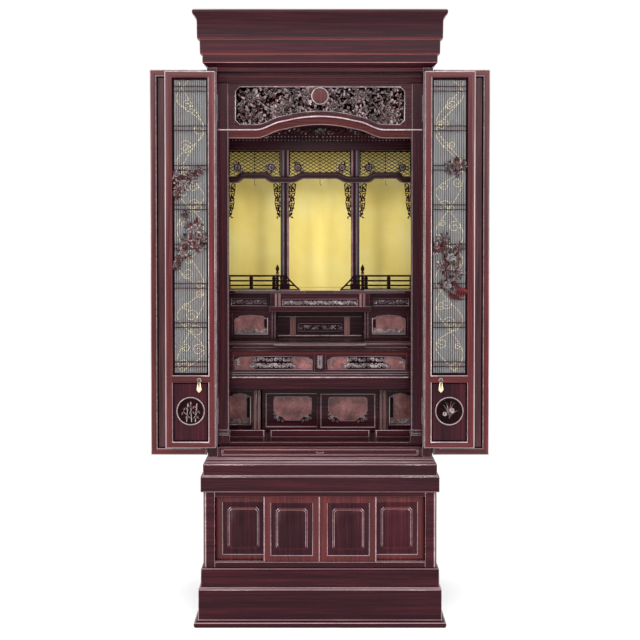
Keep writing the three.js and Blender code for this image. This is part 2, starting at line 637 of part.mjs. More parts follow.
function makeLowerRow() {
  const zs = [FLOOR_TOP + GAP, CUPBOARD_TOP];
  const [near, far] = [CUPBOARD_DEPTH, CUPBOARD_DEPTH + 12];
  for (const [side, s] of SIDES) {
    const panel = cut(
      block([s * 154, s * TIER_HALF], [near, far], zs),
      facing(chamfered([s * 174, s * 240], [zs[0] + 4, zs[1] - 3], 2), [near - 1, near + 1.5]),
      facing(cusped([s * 179, s * 235], [zs[0] + 17, zs[1] - 8], 11), [near, near + 5]),
    );
    const posts = [154, 164].map((x) => block([s * x, s * (x + 7)], [near - 5, near + 1], zs));
    piece(`cupboard_panel_${side}`, join(panel, ...posts), ROSEWOOD);
  }
  const doors = [['cupboard_door_left', [-150, 8], [201, 209]], ['cupboard_door_right', [-8, 152], [191, 199]]];
  const doorHeights = [FLOOR_TOP + 0.8, CUPBOARD_TOP - 0.8];
  for (const [name, xs, depths] of doors) {
    piece(name, slidingDoor(xs, depths, doorHeights, 10, 10), BURL);
  }
  const bars = [['floor_bar_left', -230, -139], ['floor_bar_centre', -126, 126], ['floor_bar_right', 139, 230]];
  for (const [name, x0, x1] of bars) {
    const plan = [[x0, 112], [x0, 103], [x0 + 3, 100], [x1 - 3, 100], [x1, 103], [x1, 112]];
    piece(name, upright(plan, [FLOOR_TOP + GAP, 462.8]), ROSEWOOD);
  }
}

// ---- the folding doors, open ----

// a solid leaf: a moulded frame round a sunk panel, on both faces
function outerLeaf(xs, [near, far]) {
  const { bottom, top } = OUTER_DOOR;
  const pocket = (margin, depths) => block(
    [Math.min(...xs) + margin, Math.max(...xs) - margin],
    depths,
    [bottom + margin, top - margin],
  );
  return cut(
    block(xs, [near, far], [bottom, top]),
    pocket(16, [near - 1, near + 2.5]),
    pocket(20, [near - 1, near + 6]),
    pocket(16, [far - 2.5, far + 1]),
    pocket(20, [far - 6, far + 1]),
  );
}

// a latticed leaf: depths count from its outside face, which looks towards -Y where `inward` is 1
function latticeLeaf([x0, x1], face, inward) {
  const { bottom, top, thick, stile, rail } = LATTICE_DOOR;
  const depths = (a, b) => [face + inward * a, face + inward * b].sort((p, q) => p - q);
  const window = (m) => [[x0 + stile + m, x1 - stile - m], [MID_RAIL[1] + 1 + m, top - rail - m]];
  const panel = (m) => [[x0 + stile + m, x1 - stile - m], [bottom + rail + m, MID_RAIL[0] - m]];
  const through = depths(-1, thick + 1);
  const hole = ([xs, zs], ys) => block(xs, ys, zs);
  const frame = cut(
    block([x0, x1], depths(0, thick), [bottom, top]),
    hole(window(0), depths(-1, 3)),
    hole(window(4.5), through),
    hole(panel(0), depths(-1, 3)),
    hole(panel(4), depths(-1, 6)),
    hole(panel(0), depths(14, thick + 1)),
  );
  const [wx] = window(4.2);
  const bars = range(BAR_PAIRS.count * 2, (i) => {
    const z = BAR_PAIRS.first + BAR_PAIRS.pitch * Math.floor(i / 2) + (BAR_PAIRS.apart / 2) * (i % 2 ? 1 : -1);
    return block(wx, depths(6.5, 11), [z - BAR_PAIRS.width / 2, z + BAR_PAIRS.width / 2]);
  });
  const centre = (x0 + x1) / 2;
  const ring = cut(
    facing(discOutline(centre, MEDALLION.z, MEDALLION.radius, 12), depths(2.5, 7)),
    facing(discOutline(centre, MEDALLION.z, MEDALLION.radius - 4, 12), depths(0, 8)),
  );
  return join(frame, ...bars, ring);
}

function gauzeSheet([x0, x1], face, inward) {
  const { top, stile, rail } = LATTICE_DOOR;
  const inset = stile + 4.5 + GAP;
  const ys = [face + inward * 12, face + inward * 13];
  return block([x0 + inset, x1 - inset], ys, [MID_RAIL[1] + 5.5 + GAP, top - rail - 4.5 - GAP]);
}

// carved sprays laid over the lattice of a front leaf, on branches that grow from its stile.
// Each is given by its distance from the free edge, its height, its radius and its number of leaves.
const SPRAYS = {
  left: [
    [[94, 1100, 12, 5], [80, 1074, 14, 5]],
    [[27, 944, 13, 5], [52, 972, 16, 5], [80, 910, 15, 5]],
  ],
  right: [
    [[92, 1126, 9, 5], [60, 1117, 11, 5]],
    [[30, 926, 13, 5], [64, 900, 18, 5], [56, 835, 16, 5]],
  ],
};

function overlay(side, s, freeEdge, face) {
  return SPRAYS[side].flatMap((group) => {
    const heads = group.map(([x, z, radius, leaves]) => (
      spray(freeEdge + s * x, face + 0.4, z, radius, 5.6, leaves)
    ));
    const stems = group.slice(1).map(([x, z], i) => {
      const [fromX, fromZ] = group[i];
      const [a, b] = [freeEdge + s * fromX, freeEdge + s * x];
      const stem = [[a, fromZ - 2.5], [b, z - 2.5], [b, z + 2.5], [a, fromZ + 2.5]];
      return facing(stem, [face + 2.5, face + 5]);
    });
    return [...heads, ...stems];
  });
}

function makeDoors() {
  const { thick } = LATTICE_DOOR;
  for (const [side, s] of SIDES) {
    const outerX = OUTER_PIN.x + 0.5;
    const outerY = 2 * OUTER_PIN.y + 6;
    const outerDepth = OUTER_DOOR.thick;
    const fold = 0.6;
    const outerReach = 414.1;
    const first = outerLeaf([s * outerX, s * outerReach], [outerY, outerY + outerDepth]);
    piece(`outer_door_${side}`, first, ROSEWOOD);
    const behind = outerY + outerDepth + fold;
    const second = outerLeaf([s * (outerX + 0.6), s * outerReach], [behind, behind + outerDepth]);
    piece(`outer_door_${side}_folded`, second, ROSEWOOD);

    const near = LATTICE_PIN.x + 0.3;
    const far = 373;
    const outside = -2;
    const sorted = (a, b) => [s * a, s * b].sort((p, q) => p - q);
    const rear = [sorted(near, far), outside, -1];
    const front = [sorted(near + 1.6, far), outside - 2 * thick - fold, 1];
    piece(`lattice_door_${side}`, latticeLeaf(...rear), ROSEWOOD);
    piece(`lattice_door_${side}_gauze`, gauzeSheet(...rear), GAUZE);
    const carved = overlay(side, s, s * (near + 1.6), front[1]);
    const reach = block([s * (near + 19), s * (far - 18)], [front[1] + 0.2, front[1] + 11], [620, 1330]);
    const kept = join(...carved).intersect(reach);
    piece(`lattice_door_${side}_folded`, join(latticeLeaf(...front), kept), ROSEWOOD);
    piece(`lattice_door_${side}_folded_gauze`, gauzeSheet(...front), GAUZE);

    const face = front[1];
    const drop = points([[0, 0], [3.1, 2], [3.5, 8], [1.2, 21], [3.5, 27], [3, 32], [0, PULL.height]]);
    const pull = new THREE.LatheGeometry(drop, 8).rotateX(Math.PI / 2).scale(PULL.flatten, 1, 1);
    piece(`door_pull_${side}`, solidOf(pull.translate(s * PULL.x, face - 3.8, PULL.bottom)), PULL_METAL);
  }
}

makePlinth();
makeLowerCarcass();
makeLowerFrontFrame();
makeLowerDoors();
makeLedge();
makePosts();
makeUpperCarcass();
makePullOutBoard();
makeCornice();
makeFriezeRail();
makeArchBoard();
makeTransomCarving();
makeCrestBeam();
makeColumns();
makeHall();
makeRailings();
makeReliefCasing();
makeMiddleRow();
makeStep();
makeDrawerBand();
makeLowerRow();
makeDoors();

export default cabinet;
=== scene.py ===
import json
import math
import random

import bmesh
import bpy
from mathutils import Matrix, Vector

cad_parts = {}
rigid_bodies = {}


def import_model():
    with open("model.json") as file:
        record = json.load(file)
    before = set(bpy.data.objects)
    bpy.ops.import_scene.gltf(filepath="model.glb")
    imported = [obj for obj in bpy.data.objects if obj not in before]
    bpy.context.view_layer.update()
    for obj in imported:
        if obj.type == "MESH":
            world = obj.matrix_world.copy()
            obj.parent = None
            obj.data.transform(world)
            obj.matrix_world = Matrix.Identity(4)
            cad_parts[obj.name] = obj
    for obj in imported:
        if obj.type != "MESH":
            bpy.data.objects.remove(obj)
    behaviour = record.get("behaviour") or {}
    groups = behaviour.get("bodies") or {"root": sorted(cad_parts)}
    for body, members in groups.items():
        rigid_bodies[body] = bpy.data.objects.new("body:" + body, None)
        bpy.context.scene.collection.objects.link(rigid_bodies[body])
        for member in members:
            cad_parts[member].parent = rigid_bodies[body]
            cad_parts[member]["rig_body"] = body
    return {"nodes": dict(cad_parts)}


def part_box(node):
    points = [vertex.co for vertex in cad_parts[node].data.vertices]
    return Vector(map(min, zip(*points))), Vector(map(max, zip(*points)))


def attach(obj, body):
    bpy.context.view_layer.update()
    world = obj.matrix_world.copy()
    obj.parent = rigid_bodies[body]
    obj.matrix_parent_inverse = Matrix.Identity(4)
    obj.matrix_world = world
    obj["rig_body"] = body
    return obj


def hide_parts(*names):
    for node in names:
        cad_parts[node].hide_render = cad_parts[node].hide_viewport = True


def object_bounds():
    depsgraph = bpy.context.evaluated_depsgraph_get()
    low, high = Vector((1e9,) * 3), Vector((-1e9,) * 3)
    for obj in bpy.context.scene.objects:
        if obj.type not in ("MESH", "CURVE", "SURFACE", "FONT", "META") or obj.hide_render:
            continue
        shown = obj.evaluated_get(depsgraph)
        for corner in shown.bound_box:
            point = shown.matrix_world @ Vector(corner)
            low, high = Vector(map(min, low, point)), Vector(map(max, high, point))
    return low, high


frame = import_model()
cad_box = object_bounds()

# A household altar cabinet in polished rosewood. Shapes are worked out in millimetres: across from the middle,
# into the cabinet from the front face of the corner posts, and up from the floor. Finished pieces are in metres.

MM = 0.001
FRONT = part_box("corner_post_left")[0].y
SIDES = (("left", -1), ("right", 1))
UPWARDS = 1.57  # the direction of a leaf that grows straight up


def spans(node):
    """How far a solid reaches across, into the cabinet and up, in millimetres."""
    low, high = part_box(node)
    return (
        (low.x / MM, high.x / MM),
        ((low.y - FRONT) / MM, (high.y - FRONT) / MM),
        (low.z / MM, high.z / MM),
    )


def body_of(node):
    return frame["nodes"][node]["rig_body"]


def put(name, data):
    """A new object in the scene."""
    made = bpy.data.objects.new(name, data)
    bpy.context.scene.collection.objects.link(made)
    return made


# ---- finishes ----


def feed(tree, node, inputs):
    """Sees to a node's inputs: a socket is linked, a list of sockets too, and a plain value is set."""
    for title, given in inputs.items():
        for source in given if isinstance(given, list) else [given]:
            if isinstance(source, bpy.types.NodeSocket):
                tree.links.new(source, node.inputs[title])
            else:
                node.inputs[title].default_value = source


def add_node(tree, kind, inputs, **settings):
    """Adds a node and gives back its outputs."""
    node = tree.nodes.new(kind)
    for name, value in settings.items():
        setattr(node, name, value)
    feed(tree, node, inputs)
    return node.outputs


def new_material(name):
    material = bpy.data.materials.new(name)
    material.use_nodes = True
    return material, material.node_tree, material.node_tree.nodes["Principled BSDF"]


def noise_at(tree, scale, detail=4.0, roughness=0.6, distortion=0.0, place=(0, 0, 0)):
    """Noise over the piece's own coordinates, as fine each way as the three scales say."""
    own = add_node(tree, "ShaderNodeTexCoord", {})["Object"]
    mapped = add_node(tree, "ShaderNodeMapping", {"Vector": own, "Scale": scale, "Location": place})["Vector"]
    return add_node(tree, "ShaderNodeTexNoise", {
        "Vector": mapped, "Scale": 1.0, "Detail": detail, "Roughness": roughness, "Distortion": distortion,
    })["Fac"]


def ramp_of(tree, value, stops):
    ramp = tree.nodes.new("ShaderNodeValToRGB")
    while len(ramp.color_ramp.elements) < len(stops):
        ramp.color_ramp.elements.new(0.5)
    for element, (at, colour) in zip(ramp.color_ramp.elements, stops):
        element.position = at
        element.color = (*colour, 1.0)
    feed(tree, ramp, {"Fac": value})
    return ramp.outputs["Color"]


def bump(tree, height, strength, distance):
    return add_node(
        tree, "ShaderNodeBump", {"Height": height, "Strength": strength, "Distance": distance},
    )["Normal"]


def ranged(tree, value, low, high):
    return add_node(tree, "ShaderNodeMapRange", {"Value": value, "To Min": low, "To Max": high})["Result"]


def mixed(tree, share, first, second):
    inputs = {"Factor": share, "A": first, "B": second}
    return add_node(tree, "ShaderNodeMix", inputs, data_type="FLOAT")["Result"]


ALONG = {"across": (5, 170, 170), "upright": (170, 170, 5), "inward": (170, 5, 170)}


def rosewood(name, grain, dark, middle, light, gloss=0.0, rough=(0.2, 0.34), shine=0.1):
    """Lacquered rosewood: fine dark streaks along the grain, broad bands of tone, open pores under the lacquer."""
    material, tree, shader = new_material(name)
    fine = noise_at(tree, ALONG[grain], detail=6, roughness=0.7, distortion=0.4)
    broad = noise_at(tree, tuple(s / 9 for s in ALONG[grain]), detail=3, distortion=1.2, place=(3, 1, 7))
    stops = [(0.34, dark), (0.5, middle), (0.66, light)]
    feed(tree, shader, {
        "Base Color": ramp_of(tree, mixed(tree, 0.45, fine, broad), stops),
        "Roughness": ranged(tree, fine, *rough),
        "Specular IOR Level": shine, "Coat Weight": gloss, "Coat Roughness": 0.1,
        "Normal": bump(tree, fine, 0.12, 0.0003),
    })
    return material


DARK = ((0.006, 0.0012, 0.0026), (0.018, 0.0028, 0.0055), (0.042, 0.0055, 0.0085))
RED = ((0.017, 0.0022, 0.0028), (0.047, 0.0054, 0.0062), (0.086, 0.0105, 0.0112))
WOOD = {grain: rosewood(f"rosewood_{grain}", grain, *DARK) for grain in ALONG}
RED_WOOD = {grain: rosewood(f"red_rosewood_{grain}", grain, *RED, shine=0.2) for grain in ("across", "upright")}
SHADE = rosewood("rosewood_in_shade", "upright", *[[c * 0.3 for c in tone] for tone in DARK], shine=0.04)
# Painted highlight: a pale pinkish white laid on arrises, beads and posts where the lamps would glint on the lacquer.
PAINTED_PALE_HIGHLIGHT = rosewood(
    "painted_pale_highlight_edge", "upright",
    (0.15, 0.088, 0.098), (0.27, 0.19, 0.20), (0.45, 0.36, 0.375), 0.4, (0.12, 0.2), 0.35,
)
# Painted reflection: a red line on arrises that look down and on the step lines of mouldings, standing for the
# reddish light they reflect.
PAINTED_RED_REFLECTION = rosewood(
    "painted_red_reflection_edge", "across",
    (0.07, 0.008, 0.006), (0.125, 0.015, 0.012), (0.20, 0.030, 0.023), 0.4, (0.15, 0.25), 0.4,
)
# Painted highlight: a pink band on rounded corners, bullnoses and field bevels, where the lamps would glint.
PAINTED_PINK_HIGHLIGHT = rosewood(
    "painted_pink_highlight_edge", "across",
    (0.11, 0.055, 0.06), (0.19, 0.11, 0.12), (0.32, 0.215, 0.23), 0.4, (0.12, 0.2), 0.35,
)
# Painted highlight, dimmer and greyer, on arrises, beads and lines turned from the lamps; also the colour of the
# hanging hooks and the screw heads.
PAINTED_GREY_HIGHLIGHT = rosewood(
    "painted_grey_highlight_edge", "across",
    (0.06, 0.04, 0.045), (0.13, 0.092, 0.098), (0.24, 0.18, 0.19), 0.5, (0.12, 0.2), 0.35,
)
CARVED = rosewood(
    "carved_rosewood", "upright",
    (0.006, 0.0014, 0.002), (0.020, 0.004, 0.005), (0.07, 0.016, 0.015), 1.0, (0.08, 0.16), 0.6,
)
# Painted highlight on carving: a pale grey standing for the glints on the high points of leaves, petals, curls and
# beads.
PAINTED_GLINTS = rosewood(
    "carving_painted_glints", "upright",
    (0.03, 0.018, 0.02), (0.15, 0.115, 0.12), (0.40, 0.34, 0.35), 0.8, (0.08, 0.16), 0.5,
)
WARM = rosewood("warm_rosewood", "across", (0.010, 0.002, 0.002), (0.029, 0.0050, 0.0046), (0.058, 0.011, 0.009))
BROWN = rosewood(
    "brown_rosewood_panel", "upright", (0.020, 0.009, 0.010), (0.050, 0.020, 0.022), (0.090, 0.038, 0.040),
)
# Painted reflection: a grey-violet sheen on the column faces turned to the side lamps.
PAINTED_SHEEN = rosewood(
    "painted_lacquer_sheen", "upright", (0.030, 0.024, 0.030), (0.055, 0.046, 0.055), (0.085, 0.074, 0.085),
)
POLISHED = rosewood("polished_floor", "across", *DARK, gloss=1.0, rough=(0.04, 0.08))
NEWEL = rosewood("brown_rosewood", "upright", (0.07, 0.028, 0.027), (0.13, 0.060, 0.056), (0.21, 0.105, 0.098))


def burl_finish():
    """Knotty burl: mottled red-brown with small dark eyes."""
    material, tree, shader = new_material("burl")
    mottle = noise_at(tree, (320, 320, 320), detail=4, roughness=0.75, distortion=2.0)
    cloud = noise_at(tree, (28, 28, 28), detail=2)
    stops = [(0.38, (0.024, 0.007, 0.008)), (0.5, (0.115, 0.034, 0.033)), (0.61, (0.25, 0.105, 0.098))]
    feed(tree, shader, {
        "Base Color": ramp_of(tree, mixed(tree, 0.4, mottle, cloud), stops),
        "Roughness": ranged(tree, mottle, 0.25, 0.42),
        "Specular IOR Level": 0.25, "Coat Weight": 0.15, "Coat Roughness": 0.15,
        "Normal": bump(tree, mottle, 0.1, 0.0003),
    })
    return material


def gold_finish():
    """Gold leaf on paper: satin, slightly clouded, with a fine tooth."""
    material, tree, shader = new_material("gold_leaf")
    tooth = noise_at(tree, (420, 420, 420), detail=3, roughness=0.7)
    cloud = noise_at(tree, (9, 9, 9), detail=2)
    stops = [(0.3, (0.82, 0.60, 0.125)), (0.5, (0.92, 0.74, 0.22)), (0.72, (0.96, 0.86, 0.38))]
    feed(tree, shader, {
        "Base Color": ramp_of(tree, mixed(tree, 0.5, tooth, cloud), stops),
        "Roughness": ranged(tree, tooth, 0.6, 0.75),
        "Specular IOR Level": 0.2,
        "Normal": bump(tree, tooth, 0.2, 0.0003),
    })
    return material


def gauze_finish():
    """Grey silk gauze: warp and weft at a millimetre, a soft sheen."""
    material, tree, shader = new_material("silk_gauze")
    own = add_node(tree, "ShaderNodeTexCoord", {})["Object"]
    thread = {"Vector": own, "Scale": 160.0, "Distortion": 0.6, "Detail": 1.0}
    warp, weft = (add_node(tree, "ShaderNodeTexWave", thread, bands_direction=way)["Fac"] for way in ("X", "Z"))
    weave = mixed(tree, 0.5, warp, weft)
    fibre = noise_at(tree, (60, 60, 22), detail=3)
    stops = [(0.25, (0.125, 0.129, 0.130)), (0.5, (0.225, 0.231, 0.232)), (0.8, (0.335, 0.343, 0.343))]
    feed(tree, shader, {
        "Base Color": ramp_of(tree, mixed(tree, 0.35, weave, fibre), stops),
        "Roughness": 0.75, "Sheen Weight": 0.3, "Sheen Roughness": 0.4,
        "Normal": bump(tree, weave, 0.3, 0.0002),
    })
    return material


def metal_finish(name, dark, light, metallic, rough):
    """Cast metal with a slightly uneven polish."""
    material, tree, shader = new_material(name)
    wear = noise_at(tree, (260, 260, 260), detail=3)
    feed(tree, shader, {
        "Base Color": ramp_of(tree, wear, [(0.35, dark), (0.65, light)]),
        "Roughness": ranged(tree, wear, *rough),
        "Metallic": metallic,
        "Normal": bump(tree, wear, 0.08, 0.0002),
    })
    return material


BURL = burl_finish()
GOLD = gold_finish()
GAUZE = gauze_finish()
VINE = metal_finish("gold_thread", (0.56, 0.48, 0.30), (0.74, 0.66, 0.46), 0.0, (0.4, 0.55))
BRASS = metal_finish("pale_brass", (0.44, 0.34, 0.20), (0.66, 0.55, 0.37), 0.7, (0.26, 0.4))
NICKEL = metal_finish("dull_nickel", (0.16, 0.15, 0.155), (0.30, 0.29, 0.30), 0.6, (0.3, 0.42))
BLACK = metal_finish("black_lacquer", (0.006, 0.006, 0.007), (0.02, 0.018, 0.02), 0.0, (0.12, 0.2))


# ---- making shapes ----

SMOOTH_BELOW = 40  # degrees between two faces of a carved piece that still look like one
ARRIS_FROM = 32  # degrees between two faces of a board that meet in an arris


class Shape:
    """The faces of one piece while it is being made. A face that is given no finish has the main one."""

    def __init__(self, main=None):
        self.main, self.points, self.faces, self.finishes = main, [], [], []

    def add(self, points, faces, finish=None):
        start = len(self.points)
        self.points.extend(points)
        for number, face in enumerate(faces):
            own = finish[number] if isinstance(finish, list) else finish
            self.faces.append([start + i for i in face])
            self.finishes.append(self.main if own is None else own)

    def take(self, mesh, finish=None):
        """Adds a made mesh that is already in millimetres."""
        self.add([tuple(v.co) for v in mesh.vertices], [list(p.vertices) for p in mesh.polygons], finish)
        bpy.data.meshes.remove(mesh)


def finished(name, shape, stands_for=(), body="cabinet"):
    """Turns a shape into a piece that rides on a body."""
    mesh = bpy.data.meshes.new(name)
    points = [(x * MM, FRONT + depth * MM, z * MM) for x, depth, z in shape.points]
    mesh.from_pydata(points, [], shape.faces)
    materials = list(dict.fromkeys(shape.finishes))
    mesh.polygons.foreach_set("material_index", [materials.index(finish) for finish in shape.finishes])
    return placed(name, mesh, body, materials, stands_for, raw=True)


def placed(name, mesh, body, materials, stands_for, raw):
    """Puts a mesh in the scene. The faces of a raw one are first turned outwards, and smoothed where they may be."""
    for material in materials:
        mesh.materials.append(material)
    if raw:
        work = bmesh.new()
        work.from_mesh(mesh)
        bmesh.ops.recalc_face_normals(work, faces=work.faces)
        work.to_mesh(mesh)
        work.free()
    mesh.polygons.foreach_set("use_smooth", [True] * len(mesh.polygons))
    if raw:
        mesh.set_sharp_from_angle(angle=math.radians(SMOOTH_BELOW))
    mesh.update()
    piece = put(name, mesh)
    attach(piece, body)
    if stands_for:
        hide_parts(*stands_for)
    return piece


def dressed(node, wood, arris, edge, under=None, fills=(), whole_faces=True, slants=False):
    """A solid of the frame whose arrises, as wide as `edge`, are painted as highlights; `under` is the finish of
    those that look down, mostly a painted reflection.
    Each fill is (finish, across, up, depth): flat faces looking forward there take that finish. With `slants`,
    upright faces turned partly sideways count as arrises and take the painted highlight too."""
    finishes = [wood, arris, under or arris, WOOD["inward"], *[fill[0] for fill in fills]]
    work = bmesh.new()
    work.from_mesh(frame["nodes"][node].data)
    bmesh.ops.remove_doubles(work, verts=work.verts, dist=0.01 * MM)
    if whole_faces:
        bmesh.ops.dissolve_limit(work, angle_limit=math.radians(1), verts=work.verts, edges=work.edges)
    for face in work.faces:
        x, y, z = face.calc_center_median() / MM
        depth = y - FRONT / MM
        face.material_index = int(slants and 0.2 < abs(face.normal.x) < 0.97 and abs(face.normal.z) < 0.1)
        if wood == WOOD["across"] and abs(face.normal.x) > 0.7:
            face.material_index = finishes.index(WOOD["inward"])
        for finish, (x0, x1), (z0, z1), (d0, d1) in fills:
            if face.normal.y < -0.9 and x0 < x < x1 and z0 < z < z1 and d0 < depth < d1:
                face.material_index = finishes.index(finish)
    sharp = [e for e in work.edges if e.is_manifold and e.calc_face_angle() > math.radians(ARRIS_FROM)]
    made = bmesh.ops.bevel(
        work, geom=sharp, offset=edge * MM, offset_type="OFFSET", segments=2, profile=0.5, affect="EDGES",
        clamp_overlap=True, material=-1,
    )
    work.normal_update()
    painted_arrises = set(made["faces"])
    # Bevel faces that look down take the `under` finish (a painted reflection), the others the painted highlight.
    for face in painted_arrises:
        face.material_index = 2 if face.normal.z < -0.25 else 1
    for line in work.edges:
        sides = [face in painted_arrises for face in line.link_faces]
        even = line.is_manifold and sides[0] == sides[1]
        line.smooth = even and line.calc_face_angle() < math.radians(ARRIS_FROM - 1)
    name = f"{node}_polished"
    mesh = bpy.data.meshes.new(name)
    work.to_mesh(mesh)
    work.free()
    return placed(name, mesh, body_of(node), finishes, [node], raw=False)


def box(shape, xs, depths, zs, finish=None):
    x0, x1 = sorted(xs)
    y0, y1 = sorted(depths)
    z0, z1 = sorted(zs)
    corners = [(x, y, z) for x in (x0, x1) for y in (y0, y1) for z in (z0, z1)]
    sides = [[0, 1, 3, 2], [4, 6, 7, 5], [0, 4, 5, 1], [2, 3, 7, 6], [0, 2, 6, 4], [1, 5, 7, 3]]
    shape.add(corners, sides, finish)


def nested(shape, loops, finishes, caps=(None, None)):
    """Bands between loops of points, with one finish a band, or a tuple of one for each of its sides. A cap closes
    the first or last loop in its finish."""
    count = len(loops[0])
    points = [p for loop in loops for p in loop]
    faces, kinds = [], []
    for i, finish in enumerate(finishes):
        a, b = i * count, (i + 1) * count
        for j in range(count):
            k = (j + 1) % count
            faces.append([a + j, a + k, b + k, b + j])
            kinds.append(finish[j] if isinstance(finish, tuple) else finish)
    for cap, loop in zip(caps, (0, len(loops) - 1)):
        if cap is not None:
            faces.append([loop * count + j for j in range(count)])
            kinds.append(cap)
    shape.add(points, faces, kinds)


def solid_of(shape, loops, finish):
    """Bands between loops of points and caps on both ends, all in one finish."""
    nested(shape, loops, [finish] * (len(loops) - 1), (finish, finish))


def rectangle(xs, zs, inset, depth):
    (x0, x1), (z0, z1) = xs, zs
    a, b, c, d = x0 + inset, x1 - inset, z0 + inset, z1 - inset
    return [(a, depth, c), (b, depth, c), (b, depth, d), (a, depth, d)]


def turns_round(sides):
    return [2 * math.pi * i / sides for i in range(sides)]


def around(x, z, radius, turn):
    """The point at a distance from (x, z) in the direction `turn`."""
    return x + radius * math.cos(turn), z + radius * math.sin(turn)


def circle(x, z, radius, sides):
    return [around(x, z, radius, turn) for turn in turns_round(sides)]


def between(first, last, steps):
    """Equally spaced values from the first to the last."""
    return [first + (last - first) * i / steps for i in range(steps + 1)]


def sideways(s):
    """The direction across to the right, or to the left where `s` is negative."""
    return 0 if s > 0 else math.pi


def ahead_of(before, after):
    """The direction from one point of a line to another."""
    ahead = Vector((after[0] - before[0], after[1] - before[1]))
    return ahead.normalized() if ahead.length else Vector((1, 0))


def sweep(shape, line, profile, finish=None, closed=False, grow=None):
    """Runs a closed profile, points of (across the line, depth), along a line of (x, z).
    `grow` gives the profile's size at each point of the line, about its own middle."""
    count, sides = len(line), len(profile)
    middle = sum(depth for _, depth in profile) / sides
    points = []
    for i, (x, z) in enumerate(line):
        before = line[i - 1] if i or closed else line[i]
        after = line[(i + 1) % count] if i + 1 < count or closed else line[i]
        ahead = ahead_of(before, after)
        side = Vector((-ahead.y, ahead.x))
        if 0 < i < count - 1 or closed:
            step = Vector((x - before[0], z - before[1]))
            if step.length:
                square = Vector((-step.y, step.x)).normalized()
                side = side / max(0.45, side.dot(square))
        size = grow[i] if grow else 1.0
        for across, depth in profile:
            points.append((x + side.x * across * size, middle + (depth - middle) * size, z + side.y * across * size))
    faces = []
    for i in range(count if closed else count - 1):
        a, b = i * sides, ((i + 1) % count) * sides
        faces += [[a + j, a + (j + 1) % sides, b + (j + 1) % sides, b + j] for j in range(sides)]
    if not closed:
        faces += [list(range(sides)), list(range((count - 1) * sides, count * sides))]
    shape.add(points, faces, finish)


def rod(shape, line, radius, depth, sides=6, finish=None, closed=False, grow=None):
    """A round rod along a line of (x, z)."""
    sweep(shape, line, circle(0, depth, radius, sides), finish, closed, grow)


def turned(shape, centre, profile, sides=12, towards="up", finish=None):
    """A turned form. The profile is (radius, along) from end to end; `towards` is up or out to the viewer."""
    x, depth, z = centre
    if towards == "up":
        loops = [[(a, b, z + along) for a, b in circle(x, depth, radius, sides)] for radius, along in profile]
    else:
        loops = [[(a, depth - along, b) for a, b in circle(x, z, radius, sides)] for radius, along in profile]
    solid_of(shape, loops, finish or shape.main)


def plate(shape, outline, depths, finish=None):
    """A flat board of any outline between two depths."""
    solid_of(shape, [[(x, depth, z) for x, z in outline] for depth in depths], finish or shape.main)


def blade(shape, line, widths, depths, thick, finish=None):
    """A leaf, feather or petal: a ridged ribbon along points of (x, z), its ends drawn to points."""
    count = len(line)
    points = []
    for i, (x, z) in enumerate(line):
        ahead = ahead_of(line[max(0, i - 1)], line[min(count - 1, i + 1)])
        w, depth = widths[i] / 2, depths[i]
        points += [
            (x - ahead.y * w, depth + thick * 0.25, z + ahead.x * w),
            (x, depth - thick * 0.5, z),
            (x + ahead.y * w, depth + thick * 0.25, z - ahead.x * w),
            (x, depth + thick * 0.5, z),
        ]
    faces = [
        [4 * i + j, 4 * i + (j + 1) % 4, 4 * i + 4 + (j + 1) % 4, 4 * i + 4 + j]
        for i in range(count - 1) for j in range(4)
    ]
    faces += [[0, 1, 2, 3], [4 * count - 4 + j for j in range(4)]]
    shape.add(points, faces, finish)


def leaf(shape, x, z, depth, length, width, turn, thick=2.4, bend=0.25, rise=0.0, finish=None):
    """A curved leaf that grows from (x, z) in the direction `turn`."""
    shares = between(0, 1, 4)
    line = [around(x, z, length * t, turn + bend * (t - 0.5) * 2) for t in shares]
    depths = [depth - rise * math.sin(math.pi * t) for t in shares]
    blade(shape, line, [width * w for w in (0.16, 0.8, 1.0, 0.66, 0.06)], depths, thick, finish)


def petals(shape, x, z, depth, radius, count, lift, start=0.0, finish=None):
    """One ring of cupped petals round (x, z)."""
    wide = 2.3 * radius * math.sin(math.pi / count)
    depths = [depth, depth - lift * 0.55, depth - lift, depth - lift * 0.7]
    for turn in turns_round(count):
        line = [around(x, z, radius * r, start + turn) for r in (0.12, 0.45, 0.8, 1.0)]
        blade(shape, line, [wide * w for w in (0.3, 0.85, 1.0, 0.45)], depths, lift * 0.55 + 1.0, finish)


def blossom(shape, x, z, depth, radius, height, start=0.0, finish=None):
    """A peony: three rings of petals, each smaller and nearer the viewer, round a bud."""
    for size, nearer, count, lift, turn in ((1, 0, 8, 0.35, 0), (0.7, 0.35, 6, 0.35, 0.4), (0.42, 0.6, 5, 0.3, 0)):
        petals(shape, x, z, depth - height * nearer, radius * size, count, height * lift, start + turn, finish)
    bud = [(r * radius * 0.16, h * height * 0.3) for r, h in ((0.1, 0), (1, 0.25), (0.8, 0.7), (0.1, 1))]
    turned(shape, (x, depth - height * 0.7, z), bud, 6, "out", finish)


def curl_line(x, z, radius, start, turns, sense, steps):
    """Points of a spiral that winds in towards (x, z)."""
    sweep_round = sense * turns * 2 * math.pi
    return [around(x, z, radius * (1 - 0.78 * t), start + sweep_round * t) for t in between(0, 1, steps)]


def curl(shape, x, z, depth, radius, start, turns=1.2, sense=1, stem=1.2, finish=None, steps=12):
    grow = [1.15 - 0.5 * i / steps for i in range(steps + 1)]
    rod(shape, curl_line(x, z, radius, start, turns, sense, steps), stem, depth, 4, finish, grow=grow)


